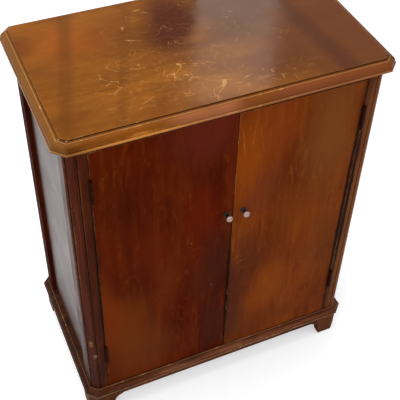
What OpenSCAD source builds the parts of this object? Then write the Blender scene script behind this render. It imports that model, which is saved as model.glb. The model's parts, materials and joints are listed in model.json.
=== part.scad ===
// Gramophone cabinet: a canted, moulded mahogany case on bracket feet, with a lifting lid over the
// turntable, two doors over the horn and the record store, and a spring motor under the motor board.
// The origin is the middle of the footprint on the floor. The doors face -Y and +Z is up.

/* [Lid] */
// Width of the lid over its moulding
lid_w = 610; // [580:1:660]
// Depth of the lid over its moulding
lid_d = 352; // [348:1:380]
// Thickness of the lid at its raised field
lid_t = 20; // [13:0.5:24]
// Height of the raised field above the moulding
field_step = 2.2; // [1:0.1:3]
// Width of the moulding round the field
lid_mould_w = 16; // [12:0.5:20]
// Leg of the canted lid corners
lid_cant = 19.5; // [18:0.5:26]
// Joint between the lid and the surround
lid_joint = 0.6; // [0.4:0.1:1.5]
// Angle that the lid opens through, as far as its stay lets it
lid_open = 66; // [40:1:66]

/* [Case] */
// Height of the whole cabinet
cabinet_h = 756; // [740:1:800]
// Overhang of the lid beyond the case at the sides
side_overhang = 18; // [14:0.5:24]
// Overhang of the lid beyond the case at the front and back
front_overhang = 13; // [11:0.5:20]
// Leg of the canted case corners
post_cant = 12; // [12:0.5:18]
// Width of a corner post along the front
post_w = 35.5; // [32:0.5:42]
// Depth of a corner post along the side
post_d = 46; // [36:1:50]
// Width of the quirks in the posts
quirk_w = 1.8; // [1:0.1:3]
// Thickness of the side panels
side_t = 9; // [6:0.5:12]
// Recess of the side panels behind the posts
side_recess = 9; // [4:0.5:12]
// Thickness of the back panel
back_t = 6; // [4:0.5:10]
// Recess of the back panel in the posts
back_recess = 5; // [2:0.5:8]
// Distance of the post's bead quirks from its outer arris
bead_w = 3.6; // [3:0.1:5]
// Height of the fixed frame between the doors and the lid
frame_h = 12; // [10:0.1:24]
// Thickness of the bottom board
bottom_t = 16; // [12:0.5:20]
// Hairline between mitred pieces
mitre_gap = 0.12; // [0.05:0.01:0.3]

/* [Plinth and feet] */
// Height of the bracket feet
foot_h = 45; // [36:1:60]
// Height of the base frame on the feet
base_h = 17; // [12:1:24]
// Height of the plinth moulding over the bottom board
plinth_lip = 1; // [0.5:0.1:1.5]
// Projection of the plinth moulding
plinth_out = 12; // [11:0.5:18]
// Inset of the base frame and feet under the moulding
foot_inset = 5; // [3:0.5:6]
// Thickness of a foot bracket
foot_t = 18; // [14:0.5:22]
// Length of a foot bracket at its top
foot_top_l = 69; // [60:1:80]
// Length of a foot bracket at the floor
foot_floor_l = 49; // [42:1:56]

/* [Doors] */
// Thickness of the doors
door_t = 18; // [15:0.5:20]
// Gap on the hinge side of the left door
left_gap = 1.2; // [1:0.1:2]
// Gap on the hinge side of the right door
right_gap = 2.8; // [1:0.1:3]
// Gap between the two doors
door_meeting = 1.8; // [1:0.1:3]
// Place of the meeting gap, right of the middle
meeting_x = 6; // [-8:0.5:8]
// Gap above and below the doors
door_gap = 1.6; // [1:0.1:3]
// Space between the doors and what stands behind them
door_back_gap = 1.8; // [1:0.1:3]
// Amount that the right door stands proud
right_proud = 0.8; // [0:0.1:1]
// Depth of a door knob's spigot in the door
spigot_l = 9; // [6:0.5:12]
// Diameter of a door knob's end
knob_d = 13; // [11:0.5:18]
// Length of a door knob
knob_l = 15.4; // [12:0.1:15.5]
// Height of the door knobs above the doors' middle
knob_up = 89; // [-100:1:150]
// Left knob's distance from the meeting gap
left_knob_in = 11.5; // [10:0.5:40]
// Right knob's distance from the meeting gap
right_knob_in = 20; // [10:0.5:40]

/* [Hinges] */
// Length of a door hinge
hinge_l = 50; // [40:1:60]
// Distance of the lower door hinges' middle from the doors' bottom
low_hinge_in = 109; // [70:1:150]
// Distance of the upper door hinges' middle from the doors' top
high_hinge_in = 82; // [70:1:150]
// Radius of a hinge knuckle
knuckle_r = 2.9; // [2.6:0.1:3.2]
// Radius of a hinge pin
pin_r = 1.2; // [1:0.1:1.4]
// Thickness of a hinge leaf
leaf_t = 1.3; // [1:0.1:1.6]
// Length of a lid hinge
lid_hinge_l = 60; // [50:1:76]
// Distance of the lid hinges from the middle
lid_hinge_x = 190; // [150:1:220]
// Radius of a lid hinge knuckle
lid_knuckle_r = 2.4; // [2.2:0.1:2.6]
// Radius of the curved lid stay
stay_r = 104; // [98:1:108]

/* [Inside] */
// Thickness of the motor board
board_t = 12; // [9:0.5:16]
// Depth of the turntable well under the surround
well_depth = 102; // [102:1:112]
// Height of the horn compartment
horn_h = 148; // [130:1:160]
// Thickness of the boards round the horn
horn_t = 6; // [4:0.5:9]
// Height of the room for the motor
motor_room = 87; // [86:1:92]
// Thickness of the shelf over the records
shelf_t = 12; // [9:0.5:16]
// Number of record dividers
dividers = 4; // [2:1:6]
// Thickness of a record divider
divider_t = 5; // [3:0.5:8]
// Number of louvres in front of the horn
louvres = 5; // [3:1:7]
// Slope of the louvres
louvre_slope = 32; // [15:1:40]

/* [Turntable and motor] */
// Diameter of the turntable
platter_d = 254; // [240:1:262]
// Height of the turntable over the motor board
platter_lift = 7; // [6:0.5:10]
// Height of the turntable's rim
platter_h = 15; // [12:0.5:18]
// Radius of the spindle
spindle_r = 3.6; // [3.4:0.1:3.7]
// Length of spindle above the mat
spindle_up = 14; // [10:1:16]
// Turntable centre, left of the middle
spindle_left = 45; // [40:1:55]
// Turntable centre, behind the middle
spindle_back = 8; // [4:1:9]
// Teeth of the spindle pinion and of the intermediate pinion
pinion_teeth = 12; // [12:1:14]
// Teeth of the intermediate wheel
middle_teeth = 60; // [50:1:60]
// Teeth of the barrel wheel
barrel_teeth = 64; // [56:1:64]
// Gear module of the spindle pair
fine_module = 1; // [0.8:0.1:1]
// Gear module of the barrel pair
coarse_module = 1.5; // [1.2:0.1:1.5]
// Radius of the spring barrel
barrel_r = 43; // [36:1:43]
// Radius of the winding shaft
wind_r = 5; // [4.5:0.1:5.5]
// Radius of the winding socket in the shaft
socket_r = 3; // [2.5:0.1:3.2]
// Depth of the winding socket
socket_l = 22; // [16:1:30]

/* [Tone arm] */
// Tone arm pivot, right of the middle
arm_x = 150; // [148:1:156]
// Tone arm pivot, in front of the back panel
arm_front = 33; // [33:0.5:37]
// Length from the pivot to the sound box's middle
arm_l = 214; // [205:1:216]
// Height of the arm tube over the motor board
arm_lift = 62; // [60:0.5:63]
// Radius of the arm tube at its pivot end
arm_r = 13; // [11:0.5:15]
// Radius of the arm tube at its sound box end
arm_tip_r = 8.5; // [7:0.5:10]
// Radius of the sound box
box_r = 27; // [24:0.5:28]
// Angle at which the arm is parked, outwards from straight ahead
arm_park = 12; // [8:1:14]

/* [Hidden] */
$fn = 48;
eps = 0.01;
run_fit = 0.05;
part_gap = 0.3;
far = 1000;

// Case outline
case_x = lid_w / 2 - side_overhang;
case_y = lid_d / 2 - front_overhang;
opening_x = case_x - post_w;
post_back = case_y - post_d;
panel_x = case_x - side_recess;
inner_x = panel_x - side_t;
back_y = case_y - back_recess;
inner_back = back_y - back_t;

// Heights
lid_z = cabinet_h - lid_t;
frame_top = lid_z - lid_joint;
case_top = frame_top - frame_h;
base_top = foot_h + base_h;
floor_z = base_top + bottom_t;
plinth_top = floor_z + plinth_lip;
door_low = plinth_top + door_gap;
door_high = case_top - door_gap;
knob_z = (door_low + door_high) / 2 + knob_up;
low_hinge_z = door_low + low_hinge_in;
high_hinge_z = door_high - high_hinge_in;
board_top = case_top - well_depth;
board_low = board_top - board_t;
horn_high = board_low - motor_room;
horn_low = horn_high - horn_h;
store_top = horn_low - shelf_t;
liner_t = 9;
liner_y = -case_y + door_t + door_back_gap;
liner_back = liner_y + liner_t;
frame_depth = case_y + liner_y;

// A canted corner's leg shrinks by this much for each unit that its outline moves in
leg_step = 2 - sqrt(2);
plinth_cant = post_cant + plinth_out * leg_step;

// Doors
left_edge = -opening_x + left_gap;
right_edge = opening_x - right_gap;
left_meet = meeting_x - door_meeting / 2;
right_meet = meeting_x + door_meeting / 2;
left_pin_x = -opening_x + left_gap / 2;
right_pin_x = opening_x - right_gap / 2;
pin_y = -case_y - knuckle_r - part_gap;
right_pin_y = pin_y - right_proud;
leaf_w = door_t - 3;

// Lid hinge line
lid_pin_y = case_y + lid_knuckle_r + part_gap;
lid_pin_z = frame_top + lid_joint / 2;
lid_leaf_w = frame_depth + lid_knuckle_r;

// Turntable and motor
mat_t = 1;
shaft_r = 4.2;
spin_x = -spindle_left;
spin_y = spindle_back;
platter_z = board_top + platter_lift;
mat_z = platter_z + platter_h;
spindle_top = mat_z + mat_t + spindle_up;
plate_t = 3;
plate_drop = 6;
motor_h = 66;
top_plate_z = board_low - plate_drop;
bottom_plate_z = top_plate_z - motor_h;
middle_r = fine_module * middle_teeth / 2;
fine_pinion_r = fine_module * pinion_teeth / 2;
coarse_pinion_r = coarse_module * pinion_teeth / 2;
main_r = coarse_module * barrel_teeth / 2;
middle_x = spin_x + middle_r + fine_pinion_r;
middle_y = spin_y;
barrel_dir = -60;
barrel_x = middle_x + (main_r + coarse_pinion_r) * cos(barrel_dir);
barrel_y = middle_y + (main_r + coarse_pinion_r) * sin(barrel_dir);
main_z = bottom_plate_z + plate_t + 10.8;
main_t = 8;
drum_h = 20;
drum_top = main_z + main_t + drum_h;
bevel_taper = 0.72;
arbor_r = 4;
arbor_wheel_r = 17;
wind_bevel_r = arbor_wheel_r / 2;
bevel_z = drum_top + 2.4;
wind_z = bevel_z + wind_bevel_r + part_gap;
wind_end = panel_x - 3;
post_spots = [[-95, -52], [72, -82], [72, 50], [-95, 66]];
pillar_r = 4;
bolt_r = 2.5;

// Tone arm
arm_y = inner_back - arm_front;
arm_z = board_top + arm_lift;
throat_r = 19;
elbow_wall = 1.5;
elbow_bend = 45;
throat_z = horn_low + horn_h * 0.52;
throat_y = arm_y - elbow_bend;

// ---------- shared shapes ----------

// The outline of a rectangle with canted corners
module canted(hx, hy, leg) {
    polygon([[-hx + leg, -hy], [hx - leg, -hy], [hx, -hy + leg], [hx, hy - leg],
        [hx - leg, hy], [-hx + leg, hy], [-hx, hy - leg], [-hx, -hy + leg]]);
}

// A moulding edge: [distance in from the outer line, height] points, run along the line that lies at
// distance d from the origin in direction a
module edge_run(a, d, edge, depth) {
    section = concat(edge, [[depth, edge[len(edge) - 1][1]], [depth, edge[0][1]]]);
    rotate([0, 0, a])
        translate([d, far / 2, 0])
            rotate([90, 0, 0])
                linear_extrude(far)
                    polygon([for (p = section) [-p[0], p[1]]]);
}

// Distance of a canted corner's line from the origin
function cant_dist(hx, hy, leg) = (hx + hy - leg) / sqrt(2);

// Eight mitred pieces round a canted rectangle
module mitred_ring(hx, hy, leg, edge, depth) {
    q = tan(22.5);
    corners = [[hx, -hy + leg], [hx, hy - leg], [hx - leg, hy], [-hx + leg, hy],
        [-hx, hy - leg], [-hx, -hy + leg], [-hx + leg, -hy], [hx - leg, -hy]];
    inward = [[-1, q], [-1, -q], [-q, -1], [q, -1], [1, -q], [1, q], [q, 1], [-q, 1]];
    for (k = [0:7]) {
        a = corners[k];
        b = corners[(k + 1) % 8];
        ia = inward[k];
        ib = inward[(k + 1) % 8];
        along = (b - a) / norm(b - a) * mitre_gap / 2;
        dist = k % 2 == 1 ? cant_dist(hx, hy, leg) : (k % 4 == 0 ? hx : hy);
        intersection() {
            edge_run(k * 45, dist, edge, depth);
            translate([0, 0, -eps])
                linear_extrude(far)
                    polygon([a - ia + along, b - ib - along,
                        b + ib * (depth + 2) - along, a + ia * (depth + 2) + along]);
        }
    }
}

// A box from its low corner to its high corner
module block(low, high) {
    translate(low)
        cube(high - low);
}

// A lying or standing box of eight corners, four at each end
module six_sided(a, b) {
    polyhedron(points = concat(a, b), faces = [[0, 1, 2, 3], [7, 6, 5, 4],
        [0, 4, 5, 1], [1, 5, 6, 2], [2, 6, 7, 3], [3, 7, 4, 0]]);
}

// Involute gear outline
function inv(a) = tan(a) * 180 / PI - a;
function flank_angle(r, base_r, half) = half - inv(acos(min(1, base_r / r)));
function tooth(base_r, root_r, tip_r, half, mid_r) =
    let (ab = flank_angle(base_r, base_r, half), am = flank_angle(mid_r, base_r, half),
        at = flank_angle(tip_r, base_r, half))
    [[root_r, -ab], [mid_r, -am], [tip_r, -at], [tip_r, at], [mid_r, am], [root_r, ab]];

module gear_2d(teeth, m, phase, backlash = 0.4) {
    pitch_r = teeth * m / 2;
    base_r = pitch_r * cos(20);
    half = 90 / teeth - backlash / 2 / pitch_r * 180 / PI + inv(20);
    outline = tooth(base_r, pitch_r - 1.2 * m, pitch_r + 0.8 * m, half, pitch_r);
    polygon([for (k = [0:teeth - 1], p = outline)
        let (a = phase + k * 360 / teeth + p[1]) [p[0] * cos(a), p[0] * sin(a)]]);
}

// ---------- case ----------

// Plan of the front left post: a quirked strip, a cant, and a quirked bead at the outer arris
module post_plan() {
    x = -case_x;
    y = -case_y;
    face = 6.5;
    bead_run = bead_w - quirk_w / 2;
    bead_r = bead_run * tan(67.5);
    difference() {
        polygon(concat([[-opening_x, y], [x + post_cant, y]],
            [for (a = [225:-9:180])
                [x + bead_r * (1 + cos(a)), y + post_cant + bead_run + bead_r * sin(a)]],
            [[x, -post_back], [-opening_x, -post_back]]));
        translate([x + post_cant + face, y])
            square([quirk_w, 2 * quirk_w], center = true);
        translate([x + bead_w / sqrt(2), y + post_cant - bead_w / sqrt(2)])
            rotate(45)
                square([quirk_w * 2, quirk_w], center = true);
        translate([x, y + post_cant + bead_w])
            square([quirk_w, quirk_w], center = true);
        square_panel_groove();
    }
}

// Groove in the post that takes the side panel's tongue
module square_panel_groove() {
    translate([-inner_x - side_t, -post_back - 4])
        square([side_t, 4 + eps]);
}

// A post in the corner that the two mirrors choose, let in for hinge leaves where cuts is not 0
module post(mx, my, cuts) {
    color("#6b3214")
        difference() {
            mirror([mx, 0, 0])
                mirror([0, my, 0])
                    translate([0, 0, floor_z])
                        linear_extrude(case_top - floor_z)
                            post_plan();
            if (cuts != 0)
                for (z = [low_hinge_z, high_hinge_z])
                    block([cuts > 0 ? opening_x - eps : -opening_x - leaf_t, -case_y - 1,
                        z - hinge_l / 2], [cuts > 0 ? opening_x + leaf_t : -opening_x + eps,
                        -case_y + leaf_w, z + hinge_l / 2]);
        }
}
module front_left_post() { post(0, 0, -1); }
module front_right_post() { post(1, 0, 1); }
module rear_left_post() { post(0, 1, 0); }
module rear_right_post() { post(1, 1, 0); }

module side_panel(side) {
    block([side > 0 ? inner_x : -inner_x - side_t, -post_back - 4, floor_z],
        [side > 0 ? inner_x + side_t : -inner_x, post_back + 4, case_top]);
}
module left_side_panel() { color("#7a4a2a") side_panel(-1); }
module right_side_panel() {
    color("#7a4a2a")
        difference() {
            side_panel(1);
            translate([inner_x - 1, barrel_y, wind_z])
                rotate([0, 90, 0])
                    cylinder(r = wind_r + 1.5, h = side_t + 2);
        }
}
module back_panel() {
    color("#8a5a34")
        block([-opening_x, inner_back, floor_z], [opening_x, back_y, case_top]);
}

module bottom_board() {
    color("#7a4522")
        translate([0, 0, floor_z - bottom_t])
            linear_extrude(bottom_t)
                canted(case_x, case_y, post_cant);
}

// Four rails mitred at the canted corners, let in for the lid's hinge leaves
module top_frame() {
    hx = case_x - frame_depth;
    hy = case_y - frame_depth;
    color("#8a5630")
        difference() {
            translate([0, 0, case_top])
                linear_extrude(frame_h)
                    difference() {
                        canted(case_x, case_y, post_cant);
                        square([2 * hx, 2 * hy], center = true);
                        for (sx = [-1, 1], sy = [-1, 1])
                            translate([sx * hx, sy * hy])
                                rotate(sx * sy * 45)
                                    square([3 * frame_depth, mitre_gap], center = true);
                    }
            lid_hinge_cuts(frame_top - leaf_t, frame_top + 1);
        }
}

// Lower edge, ovolo, fillet and sloped top of the plinth moulding, from the bottom up
plinth_h = plinth_top - base_top;
plinth_edge = concat([[0.8, 0], [0, 0.8], [0, 3.8], [1, 4.4]],
    [for (a = [0:15:90]) [1.4 + (1 - cos(a)) * 8, 4.6 + sin(a) * (plinth_h - 9)]],
    [[10.2, plinth_h - 3.6], [10.2, plinth_h - 2.4], [plinth_out - eps, plinth_h]]);

module plinth_moulding() {
    color("#84502c")
        translate([0, 0, base_top])
            mitred_ring(case_x + plinth_out, case_y + plinth_out, plinth_cant,
                plinth_edge, plinth_out);
}

// Outline shared by the base frame and the feet
foot_x = case_x + plinth_out - foot_inset;
foot_y = case_y + plinth_out - foot_inset;
foot_cant = plinth_cant - foot_inset * leg_step;

module base_frame() {
    color("#5f3016")
        translate([0, 0, foot_h])
            mitred_ring(foot_x, foot_y, foot_cant, [[0, 0], [0, base_h]], foot_t);
}

// One bracket of a foot, its inner end slanted and coved to its top
module bracket_side() {
    rise = foot_top_l - foot_floor_l;
    translate([0, foot_t, 0])
        rotate([90, 0, 0])
            linear_extrude(foot_t)
                polygon(concat([[0, 0], [foot_floor_l, 0], [foot_floor_l + 2, foot_h * 0.3]],
                    [for (a = [0:15:90]) [foot_floor_l + 2 + (rise - 4) * (1 - cos(a)),
                        foot_h * (0.42 + 0.5 * sin(a))]],
                    [[foot_top_l, foot_h * 0.93], [foot_top_l, foot_h], [0, foot_h]]));
}

// Two brackets with a glue block in their corner
module foot() {
    intersection() {
        translate([-foot_x, -foot_y, 0])
            union() {
                bracket_side();
                mirror([1, -1, 0])
                    bracket_side();
                translate([foot_t - eps, foot_t - eps, 0])
                    cube([16, 16, foot_h]);
            }
        linear_extrude(far)
            canted(foot_x, foot_y, foot_cant);
    }
}
module bracket_feet() {
    color("#6a3517")
        for (mx = [0, 1], my = [0, 1])
            mirror([mx, 0, 0])
                mirror([0, my, 0])
                    foot();
}

// ---------- doors ----------

module door_panel(x0, x1, proud, pin_side) {
    difference() {
        block([x0, -case_y - proud, door_low], [x1, -case_y - proud + door_t, door_high]);
        for (z = [low_hinge_z, high_hinge_z])
            block([pin_side < 0 ? x0 - eps : x1 - leaf_t, -case_y - 2, z - hinge_l / 2],
                [pin_side < 0 ? x0 + leaf_t : x1 + eps, -case_y - proud + leaf_w,
                    z + hinge_l / 2]);
        translate([pin_side < 0 ? left_meet - left_knob_in : right_meet + right_knob_in,
            -case_y - 5, knob_z])
            rotate([-90, 0, 0])
                cylinder(r = spigot_r + run_fit, h = 5 + spigot_l);
    }
}
module left_door_panel() { color("#5a2410") door_panel(left_edge, left_meet, 0, -1); }
module right_door_panel() { color("#7d4317") door_panel(right_meet, right_edge, right_proud, 1); }

// A turned knob: spigot, collar, neck and a ringed end
spigot_r = 3;
module knob(x, y) {
    r = knob_d / 2;
    l = knob_l;
    color("#2c1a12")
        translate([x, y, knob_z])
            rotate([90, 0, 0])
                rotate_extrude()
                    polygon([[0, 0.5 - spigot_l], [spigot_r, 0.5 - spigot_l], [spigot_r, 0], [r, 0],
                        [r, 1.2], [r * 0.82, 2.4],
                        [r * 0.6, 3.4], [r * 0.55, l * 0.36], [r * 0.66, l * 0.5],
                        [r * 0.9, l * 0.66], [r, l * 0.8], [r * 0.97, l * 0.92], [r * 0.84, l],
                        [r * 0.62, l - 0.3], [r * 0.55, l - 0.8], [r * 0.3, l - 0.8],
                        [r * 0.22, l - 0.1], [0, l - 0.1]]);
}
module left_door_knob() { knob(left_meet - left_knob_in, -case_y); }
module right_door_knob() { knob(right_meet + right_knob_in, -case_y - right_proud); }

// ---------- door hinges ----------

// One knuckle barrel with its pin hole, from z0 to z1 on the pin line
module knuckle(x, y, z0, z1, r, hole) {
    translate([x, y, z0])
        difference() {
            cylinder(r = r, h = z1 - z0);
            translate([0, 0, -1])
                cylinder(r = hole, h = z1 - z0 + 2);
        }
}

// A leaf let into a wooden edge, joined to the knuckles given as height pairs
module hinge_leaf(x0, x1, px, py, yf, z, spans, hole) {
    difference() {
        union() {
            block([x0, yf, z - hinge_l / 2], [x1, yf + leaf_w, z + hinge_l / 2]);
            for (s = spans)
                block([x0, py, z + s[0]], [x1, yf + eps, z + s[1]]);
            for (s = spans)
                translate([px, py, z + s[0]])
                    cylinder(r = knuckle_r, h = s[1] - s[0]);
        }
        for (s = spans)
            translate([px, py, z + s[0] - 1])
                cylinder(r = hole, h = s[1] - s[0] + 2);
    }
}
outer_spans = [[-hinge_l / 2, -hinge_l / 6 - 0.15], [hinge_l / 6 + 0.15, hinge_l / 2]];
inner_spans = [[-hinge_l / 6 + 0.15, hinge_l / 6 - 0.15]];

module door_hinge_fixed_leaves() {
    color("#9a8450")
        for (z = [low_hinge_z, high_hinge_z]) {
            hinge_leaf(-opening_x - leaf_t, -opening_x, left_pin_x, pin_y, -case_y, z,
                outer_spans, pin_r);
            hinge_leaf(opening_x, opening_x + leaf_t, right_pin_x, right_pin_y, -case_y, z,
                outer_spans, pin_r);
        }
}
module left_door_hinge_leaves() {
    color("#9a8450")
        for (z = [low_hinge_z, high_hinge_z])
            hinge_leaf(left_edge, left_edge + leaf_t, left_pin_x, pin_y, -case_y, z,
                inner_spans, pin_r + run_fit);
}
module right_door_hinge_leaves() {
    color("#9a8450")
        for (z = [low_hinge_z, high_hinge_z])
            hinge_leaf(right_edge - leaf_t, right_edge, right_pin_x, right_pin_y,
                -case_y - right_proud, z, inner_spans, pin_r + run_fit);
}

// A pin with a small ball at each end
module hinge_pin(length, r) {
    translate([0, 0, -length / 2])
        cylinder(r = r, h = length);
    for (s = [-1, 1])
        translate([0, 0, s * (length / 2 + r * 0.6)])
            sphere(r = r * 1.25, $fn = 24);
}
module hinge_pins() {
    color("#b59a5c") {
        for (z = [low_hinge_z, high_hinge_z]) {
            translate([left_pin_x, pin_y, z])
                hinge_pin(hinge_l + 0.6, pin_r);
            translate([right_pin_x, right_pin_y, z])
                hinge_pin(hinge_l + 0.6, pin_r);
        }
        for (s = [-1, 1])
            translate([s * lid_hinge_x, lid_pin_y, lid_pin_z])
                rotate([0, 90, 0])
                    cylinder(r = pin_r, h = lid_hinge_l + 1, center = true);
    }
}

// ---------- lid ----------

// Fillet, quirk, ovolo, step and cove of the lid moulding, from its lower edge up
lid_edge_h = lid_t - field_step;
lid_edge = concat([[1, 0], [0.2, 0.6], [0, 1.4], [0, 3.6], [0.3, 4], [1.6, 4.3], [1.7, 4.9]],
    [for (a = [0:15:90])
        [2 + (1 - cos(a)) * (lid_mould_w - 7.8), 5.1 + sin(a) * (lid_edge_h - 7.7)]],
    [[lid_mould_w - 5.2, lid_edge_h - 1.4], [lid_mould_w - 3.6, lid_edge_h - 1],
        [lid_mould_w - 1.2, lid_edge_h]]);

// Recesses for the lid hinges, their leaves between the given heights
module lid_hinge_cuts(z0, z1) {
    room = lid_knuckle_r + part_gap;
    for (s = [-1, 1]) {
        x0 = s * lid_hinge_x - lid_hinge_l / 2 - 0.5;
        x1 = s * lid_hinge_x + lid_hinge_l / 2 + 0.5;
        block([x0, lid_pin_y - lid_leaf_w - 0.5, z0], [x1, lid_pin_y, z1]);
        block([x0, lid_pin_y - room, lid_pin_z - room], [x1, lid_pin_y + room, lid_pin_z + room]);
    }
}
module lid_panel() {
    hx = lid_w / 2 - lid_mould_w;
    hy = lid_d / 2 - lid_mould_w;
    color("#a8672c")
        difference() {
            translate([0, 0, lid_z])
                linear_extrude(lid_t)
                    canted(hx, hy, lid_cant - lid_mould_w * leg_step);
            lid_hinge_cuts(lid_z - 1, lid_z + leaf_t);
            translate([stay_x - 0.2, lid_pin_y - stay_r - 9.2, lid_z - 1])
                cube([8.4, 18.4, 1 + leaf_t]);
        }
}
module lid_moulding() {
    color("#98561f")
        difference() {
            translate([0, 0, lid_z])
                mitred_ring(lid_w / 2, lid_d / 2, lid_cant, lid_edge, lid_mould_w);
            lid_hinge_cuts(lid_z - 1, lid_z + leaf_t);
        }
}

// One leaf of a lid hinge: the leaf's own height span, the knuckles' x spans and the pin hole
module lid_leaf(s, z0, z1, spans, hole) {
    x = s * lid_hinge_x;
    difference() {
        union() {
            block([x - lid_hinge_l / 2, lid_pin_y - lid_leaf_w, z0],
                [x + lid_hinge_l / 2, lid_pin_y - lid_knuckle_r - part_gap, z1]);
            for (p = spans)
                block([x + p[0], lid_pin_y - lid_knuckle_r - part_gap - eps, z0],
                    [x + p[1], lid_pin_y, z1]);
            for (p = spans)
                translate([x + p[0], lid_pin_y, lid_pin_z])
                    rotate([0, 90, 0])
                        cylinder(r = lid_knuckle_r, h = p[1] - p[0]);
        }
        translate([x - lid_hinge_l, lid_pin_y, lid_pin_z])
            rotate([0, 90, 0])
                cylinder(r = hole, h = 2 * lid_hinge_l);
    }
}
lid_outer = [[-lid_hinge_l / 2, -lid_hinge_l / 6 - 0.15], [lid_hinge_l / 6 + 0.15, lid_hinge_l / 2]];
lid_inner = [[-lid_hinge_l / 6 + 0.15, lid_hinge_l / 6 - 0.15]];
module lid_hinge_fixed_leaves() {
    color("#9a8450")
        for (s = [-1, 1])
            lid_leaf(s, frame_top - leaf_t, frame_top, lid_outer, pin_r);
}
module lid_hinge_leaves() {
    color("#9a8450")
        for (s = [-1, 1])
            lid_leaf(s, lid_z, lid_z + leaf_t, lid_inner, pin_r + run_fit);
}

// Curved brass stay: a bar bent round the lid's hinge line, hung from a foot in the lid
stay_w = 8;
stay_t = 2.5;
stay_x = -opening_x + 4;
stay_span = lid_open + 6;
module lid_stay() {
    color("#b59a5c") {
        translate([stay_x, lid_pin_y, lid_pin_z])
            intersection() {
                rotate([0, 90, 0])
                    difference() {
                        cylinder(r = stay_r + stay_w / 2, h = stay_t, $fn = 96);
                        translate([0, 0, -1])
                            cylinder(r = stay_r - stay_w / 2, h = stay_t + 2, $fn = 96);
                    }
                rotate([90, 0, 90])
                    linear_extrude(stay_t)
                        polygon([[0, 0], [-2 * stay_r, lid_joint / 2],
                            [-2 * stay_r, -2 * stay_r],
                            [-2 * stay_r * cos(stay_span), -2 * stay_r * sin(stay_span)]]);
            }
        block([stay_x, lid_pin_y - stay_r - stay_w / 2, lid_pin_z - 0.5],
            [stay_x + stay_t, lid_pin_y - stay_r + stay_w / 2, lid_z + leaf_t]);
        block([stay_x, lid_pin_y - stay_r - 9, lid_z], [stay_x + 8, lid_pin_y - stay_r + 9,
            lid_z + leaf_t]);
    }
}

// Slotted brass guide on the side panel that the stay runs through
module stay_guide() {
    gz = case_top - 12;
    gy = lid_pin_y - sqrt(stay_r * stay_r - pow(lid_pin_z - gz, 2));
    color("#b59a5c")
        difference() {
            block([-inner_x, gy - 12, gz - 5], [stay_x + stay_t + 3, gy + 12, gz + 5]);
            translate([stay_x - part_gap, lid_pin_y, lid_pin_z])
                rotate([0, 90, 0])
                    difference() {
                        cylinder(r = stay_r + stay_w / 2 + part_gap,
                            h = stay_t + 2 * part_gap, $fn = 96);
                        translate([0, 0, -1])
                            cylinder(r = stay_r - stay_w / 2 - part_gap,
                                h = stay_t + 3, $fn = 96);
                    }
        }
}

// ---------- inside boards ----------

module motor_fascia() {
    color("#7a4120")
        block([-opening_x, liner_y, horn_high], [opening_x, liner_back, case_top]);
}
module horn_frame() {
    rail = 14;
    color("#7a4120")
        difference() {
            block([-opening_x, liner_y, horn_low], [opening_x, liner_back, horn_high]);
            block([-opening_x + rail, liner_y - 1, horn_low + rail],
                [opening_x - rail, liner_back + 1, horn_high - rail]);
        }
}
module horn_louvres() {
    rail = 14;
    pitch = (horn_h - 2 * rail) / louvres;
    color("#6b3214")
        for (k = [0:louvres - 1])
            translate([0, (liner_y + liner_back) / 2 + 0.2, horn_low + rail + (k + 0.5) * pitch])
                rotate([-louvre_slope, 0, 0])
                    translate([-opening_x + rail, -1.5, -pitch * 0.2])
                        cube([2 * (opening_x - rail), 3, pitch * 0.4]);
}

// Inner rectangle of the horn at its mouth and at its throat: [x middle, z middle, half width, half height]
horn_mouth = [0, horn_low + horn_h / 2, opening_x - 14, horn_h / 2 - 14];
horn_neck = [arm_x, throat_z, 24, 24];
neck_y = throat_y - horn_t * 2;

function rect(r, y, x0, x1, z0, z1) =
    [[r[0] + x0, y, r[1] + z0], [r[0] + x1, y, r[1] + z0],
        [r[0] + x1, y, r[1] + z1], [r[0] + x0, y, r[1] + z1]];
module horn_board(ends) {
    m = horn_mouth;
    n = horn_neck;
    six_sided(rect(m, liner_back, ends[0] * m[2] + ends[1], ends[2] * m[2] + ends[3],
        ends[4] * m[3] + ends[5], ends[6] * m[3] + ends[7]),
        rect(n, neck_y, ends[0] * n[2] + ends[1], ends[2] * n[2] + ends[3],
        ends[4] * n[3] + ends[5], ends[6] * n[3] + ends[7]));
}
module horn_top_board() {
    color("#a37a4c")
        horn_board([-1, -horn_t, 1, horn_t, 1, 0, 1, horn_t]);
}
module horn_floor_board() {
    color("#a37a4c")
        horn_board([-1, -horn_t, 1, horn_t, -1, -horn_t, -1, 0]);
}
module horn_cheeks() {
    color("#a37a4c") {
        horn_board([-1, -horn_t, -1, 0, -1, 0, 1, 0]);
        horn_board([1, 0, 1, horn_t, -1, 0, 1, 0]);
    }
}
module horn_throat_block() {
    r = horn_neck[2] + horn_t;
    color("#8a5a34")
        difference() {
            block([arm_x - r, neck_y, throat_z - r], [arm_x + r, throat_y, throat_z + r]);
            translate([arm_x, neck_y - 1, throat_z])
                rotate([-90, 0, 0])
                    cylinder(r = throat_r, h = 4 * horn_t);
        }
}

// Metal elbow from the throat block up to the tone arm's base
module horn_elbow() {
    color("#3a3a3c") {
        translate([arm_x, throat_y, throat_z + elbow_bend])
            rotate([90, 0, 90])
                rotate([0, 0, -90])
                    rotate_extrude(angle = 90)
                        translate([elbow_bend, 0])
                            tube_plan();
        translate([arm_x, arm_y, throat_z + elbow_bend])
            linear_extrude(board_low - throat_z - elbow_bend)
                tube_plan();
    }
}
module tube_plan() {
    difference() {
        circle(throat_r + elbow_wall);
        circle(throat_r);
    }
}

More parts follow.
